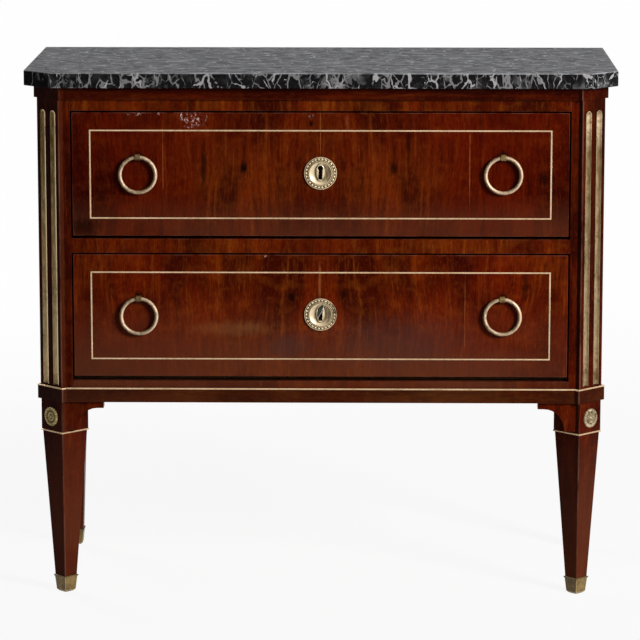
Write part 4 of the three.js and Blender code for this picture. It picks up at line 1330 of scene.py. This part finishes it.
for name, side in SIDES.items():
    finish, tarnish_and_shade = ROSETTE_FINISH[name]
    rows = [rosette_loop(*row, tarnish_and_shade) for row in ROSETTE_PROFILE]
    plate = smooth(loft("rosette_" + name + "_plate", rows, pierced=False), PLATE_ANGLE)
    out = Vector((side * math.sqrt(0.5), -math.sqrt(0.5), 0)) * ROSETTE_OUT
    middle = Vector((side * POST_X, POST_Y, ROSETTE_Z)) + out
    turn = Matrix.Rotation(side * math.radians(45), 4, "Z")
    plate.data.transform(Matrix.Translation(middle * MM) @ turn)
    stand_for(plate, finish, "rosette_" + name)
    print(name, "box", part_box("rosette_" + name))

# %% [markdown]
# A ring was bent from drawn wire and soldered. Its side that faces right and to the front is
# painted bright as a painted highlight, while the rest is painted dull as shade, so the attribute
# that darkens the brass follows the way each point of the wire faces.

# %% Ring pulls
RING_RADIUS, WIRE_RADIUS = 27.5, 3.0
RING_STEPS, WIRE_STEPS = 120, 20
RING_ANGLE = 60
# Painted highlight on the side of the wire that faces right and to the front; the rest is painted
# dull as shade.
LIT_SIDE = Vector((0.8, -0.4, 0.1))
LIT_START, LIT_FULL = 0.05, 0.8


def wire_loop(middle, around):
    """A loop round the wire; the angle runs round the ring from its top."""
    out = Vector((math.sin(around), 0, math.cos(around)))
    points, depths = [], []
    for j in range(WIRE_STEPS):
        facing = 2 * math.pi * j / WIRE_STEPS
        normal = out * math.cos(facing) + Vector((0, -math.sin(facing), 0))
        points.append((middle + out * RING_RADIUS + normal * WIRE_RADIUS) * MM)
        rubbed_and_lit = smooth_step(LIT_START, LIT_FULL, normal.dot(LIT_SIDE))
        depths.append(1.0 - rubbed_and_lit)
    return points, depths


for name in ("upper", "lower"):
    for side in SIDES:
        node = name + "_ring_" + side
        low, high = (Vector(corner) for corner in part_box(node))
        middle = (low + high) / (2 * MM)
        rows = [wire_loop(middle, 2 * math.pi * i / RING_STEPS) for i in range(RING_STEPS)]
        ring = smooth(loft(node + "_wire", rows, pierced=True), RING_ANGLE)
        stand_for(ring, ring_brass, node)
        print(node, [round(v, 2) for v in middle])

# %% [markdown]
# ## Nails, screws and dovetails
# A maker repeats small things in straight rows: nails along the back, screws in a lock case,
# dovetails up the ends of a drawer front. One group of geometry nodes repeats a shape over a
# grid, and the shape is the mesh that its modifier sits on.

# %% Geometry nodes: a field of equal pieces
def field_group():
    sizes = {"Columns": "Int", "Rows": "Int", "Width": "Float", "Height": "Float"}
    places = {"Turn": "Vector", "Middle": "Vector"}
    tree, given, result = new_tree(
        "field of pieces",
        "GeometryNodeTree",
        {"Shape": "Geometry", **sizes, **places, "Material": "Material"},
        {"Shape": "Geometry"},
    )
    grid = {"Vertices X": given["Columns"], "Vertices Y": given["Rows"]}
    grid.update({"Size X": given["Width"], "Size Y": given["Height"]})
    grid = add(tree, "GeometryNodeMeshGrid", grid).outputs["Mesh"]
    upright = moved(tree, grid, (math.pi / 2, 0, 0))
    copies = add(
        tree, "GeometryNodeInstanceOnPoints", {"Points": upright, "Instance": given["Shape"]}
    ).outputs[0]
    placed = moved(tree, copies, given["Turn"], given["Middle"])
    fill(tree, result, {"Shape": made_real(tree, placed, given["Material"])})
    return tree


field = field_group()
print("group:", field.name)

# %% [markdown]
# Each shape is drawn once. A screw is a flat disc with two raised halves, so that its slot lies
# between them. A nail's head is a low dome. Of a dovetail only the flat tail shows, on the side of
# the drawer. It is of the side's own pine and widens towards the front.

# %% Shapes to repeat
DISC_RADIUS, DISC_DEPTHS = 3.4, (-0.15, 0.3)
HALF_RADIUS, HALF_DEPTHS = 3.3, (-0.7, -0.1)
HALF_STARTS, HALF_SWEEP = (38, 218), 164  # degrees
NAIL_PROFILE = ((0.5, 0.75), (1.3, 0.65), (2.0, 0.4), (2.3, 0.1), (2.3, -0.3))
NAIL_STEPS, NAIL_ANGLE = 16, 50
TAIL_LENGTH, TAIL_WIDTH, TAIL_FLARE, TAIL_DEPTHS = 13.0, 26.0, 5.0, (-0.3, 0.3)


def prism(form, outline, depths):
    """Adds a closed prism over an outline in the XZ plane; sizes in millimetres."""
    front, back = (
        [form.verts.new(Vector((x, y, z)) * MM) for x, z in outline] for y in depths
    )
    form.faces.new(front)
    form.faces.new(back)
    skin(form, front, back)
    bmesh.ops.recalc_face_normals(form, faces=form.faces)


def arc(radius, start, end, steps):
    turns = [math.radians(start + (end - start) * i / steps) for i in range(steps + 1)]
    return [(radius * math.cos(a), radius * math.sin(a)) for a in turns]


def screw_shape(name):
    form = bmesh.new()
    prism(form, arc(DISC_RADIUS, 0, 345, 23), DISC_DEPTHS)
    for start in HALF_STARTS:
        prism(form, arc(HALF_RADIUS, start, start + HALF_SWEEP, 12), HALF_DEPTHS)
    return as_piece(name, form)


def nail_shape(name):
    rows = [(circle(radius, height, NAIL_STEPS), 0.0) for radius, height in NAIL_PROFILE]
    return smooth(loft(name, rows, pierced=False), NAIL_ANGLE)


def tail_shape(name):
    form = bmesh.new()
    wide, narrow = TAIL_WIDTH / 2, TAIL_WIDTH / 2 - TAIL_FLARE
    outline = [(0.0, -wide), (TAIL_LENGTH, -narrow), (TAIL_LENGTH, narrow), (0.0, wide)]
    prism(form, outline, TAIL_DEPTHS)
    form.transform(Matrix.Rotation(math.radians(90), 4, "Z"))
    return as_piece(name, form)


print("a screw's disc has", len(arc(DISC_RADIUS, 0, 345, 23)), "corners")

# %% [markdown]
# Screws and nails sit a little way in from the edges of what they hold, so each grid is measured
# from the box of its piece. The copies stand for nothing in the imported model. They are one piece
# of their own, which rides on the body that carries them.

# %% Place the screws, dovetails and nails
SCREW_INSET, TAIL_PROUD, TAIL_SHARE = 14 * MM, 0.3 * MM, 0.75
NAIL_INSETS, NAIL_PROUD = (36 * MM, 20 * MM), 0.2 * MM


def rides_alone(thing, body):
    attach(thing, body)


for name in ("upper", "lower"):
    low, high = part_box(name + "_lock_case")
    screws = grown(
        screw_shape(name + "_lock_screws"), field, lock_iron,
        Columns=2,
        Rows=2,
        Width=(high[0] - low[0]) - SCREW_INSET,
        Height=(high[2] - low[2]) - SCREW_INSET,
        Turn=(0, 0, math.pi),
        Middle=(0, high[1], (low[2] + high[2]) / 2),
    )
    rides_alone(screws, name + "_drawer")
    low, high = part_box(name + "_drawer_front")
    tails = grown(
        tail_shape(name + "_dovetails"), field, pine_deep,
        Columns=2,
        Rows=4,
        Width=high[0] - low[0] - TAIL_PROUD,
        Height=TAIL_SHARE * (high[2] - low[2]),
        Middle=(0, high[1] - TAIL_LENGTH * MM, (low[2] + high[2]) / 2),
    )
    rides_alone(tails, name + "_drawer")
low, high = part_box("back_panel")
nails = grown(
    nail_shape("back_nails"), field, lock_iron,
    Columns=9,
    Rows=2,
    Width=(high[0] - low[0]) - NAIL_INSETS[0],
    Height=(high[2] - low[2]) - NAIL_INSETS[1],
    Turn=(0, 0, math.pi),
    Middle=(0, high[1] + NAIL_PROUD, (low[2] + high[2]) / 2),
)
rides_alone(nails, body_of["back_panel"])
print("nails, screws and dovetails ready")

# %% [markdown]
# ## Back boards and a crooked drop
# The back is three upright boards side by side, with a narrow seam between them. On the lower
# keyhole plate a thin leaf of green old brass hangs askew in front of the keyhole, and its lower
# right edge is rubbed bright. Both are flat shapes with a thickness, so prisms make them.

# %% Back boards and the crooked drop
BOARDS, BOARD_SEAM, BOARD_ROUND = 3, 0.6, 0.8 * MM
DROP = [
    (-5, -3.5), (-4.6, 3), (-1.8, 12.5), (3.6, 16), (5.2, 13.8), (4, 9), (0.8, 2.5), (-3.2, -4.2)
]
DROP_FOOT, DROP_TIP = DROP[0], DROP[4]
DROP_BACK, DROP_FRONT = 4.6, 5.4  # millimetres before the plate's back


def back_boards():
    low, high = (Vector(corner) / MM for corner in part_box("back_panel"))
    form = bmesh.new()
    wide = (high.x - low.x) / BOARDS
    for i in range(BOARDS):
        left = low.x + i * wide + (BOARD_SEAM / 2 if i else 0)
        right = low.x + (i + 1) * wide - (BOARD_SEAM / 2 if i < BOARDS - 1 else 0)
        outline = [(left, low.z), (right, low.z), (right, high.z), (left, high.z)]
        prism(form, outline, (low.y, high.y))
    bevel(form, form.edges[:], BOARD_ROUND, 2, profile=0.6)
    return smooth(as_piece("back_boards", form))


def crooked_drop():
    form = bmesh.new()
    z_middle = PLATE_Z["lower"]
    outline = [(x, z + z_middle) for x, z in DROP]
    front = PLATE_BACK - DROP_FRONT
    prism(form, outline, (front, PLATE_BACK - DROP_BACK))
    (x0, z0), (x1, z1) = DROP_FOOT, DROP_TIP

    def on_lower_right(edge):
        points = [vert.co / MM for vert in edge.verts]
        mean = (points[0] + points[1]) / 2
        right = (mean.x - x0) * (z1 - z0) > (mean.z - z_middle - z0) * (x1 - x0)
        return right and all(point.y < front + 0.01 for point in points)

    bevel(form, [edge for edge in form.edges if on_lower_right(edge)], 0.5 * MM, 2)
    drop = smooth(as_piece("lower_keyhole_drop", form), 30)
    drop.data.materials.append(drop_brass)
    return drop


stand_for(back_boards(), pine_upright, "back_panel")
rides_alone(crooked_drop(), "lower_drawer")
print("back boards:", BOARDS, "and the drop is ready")
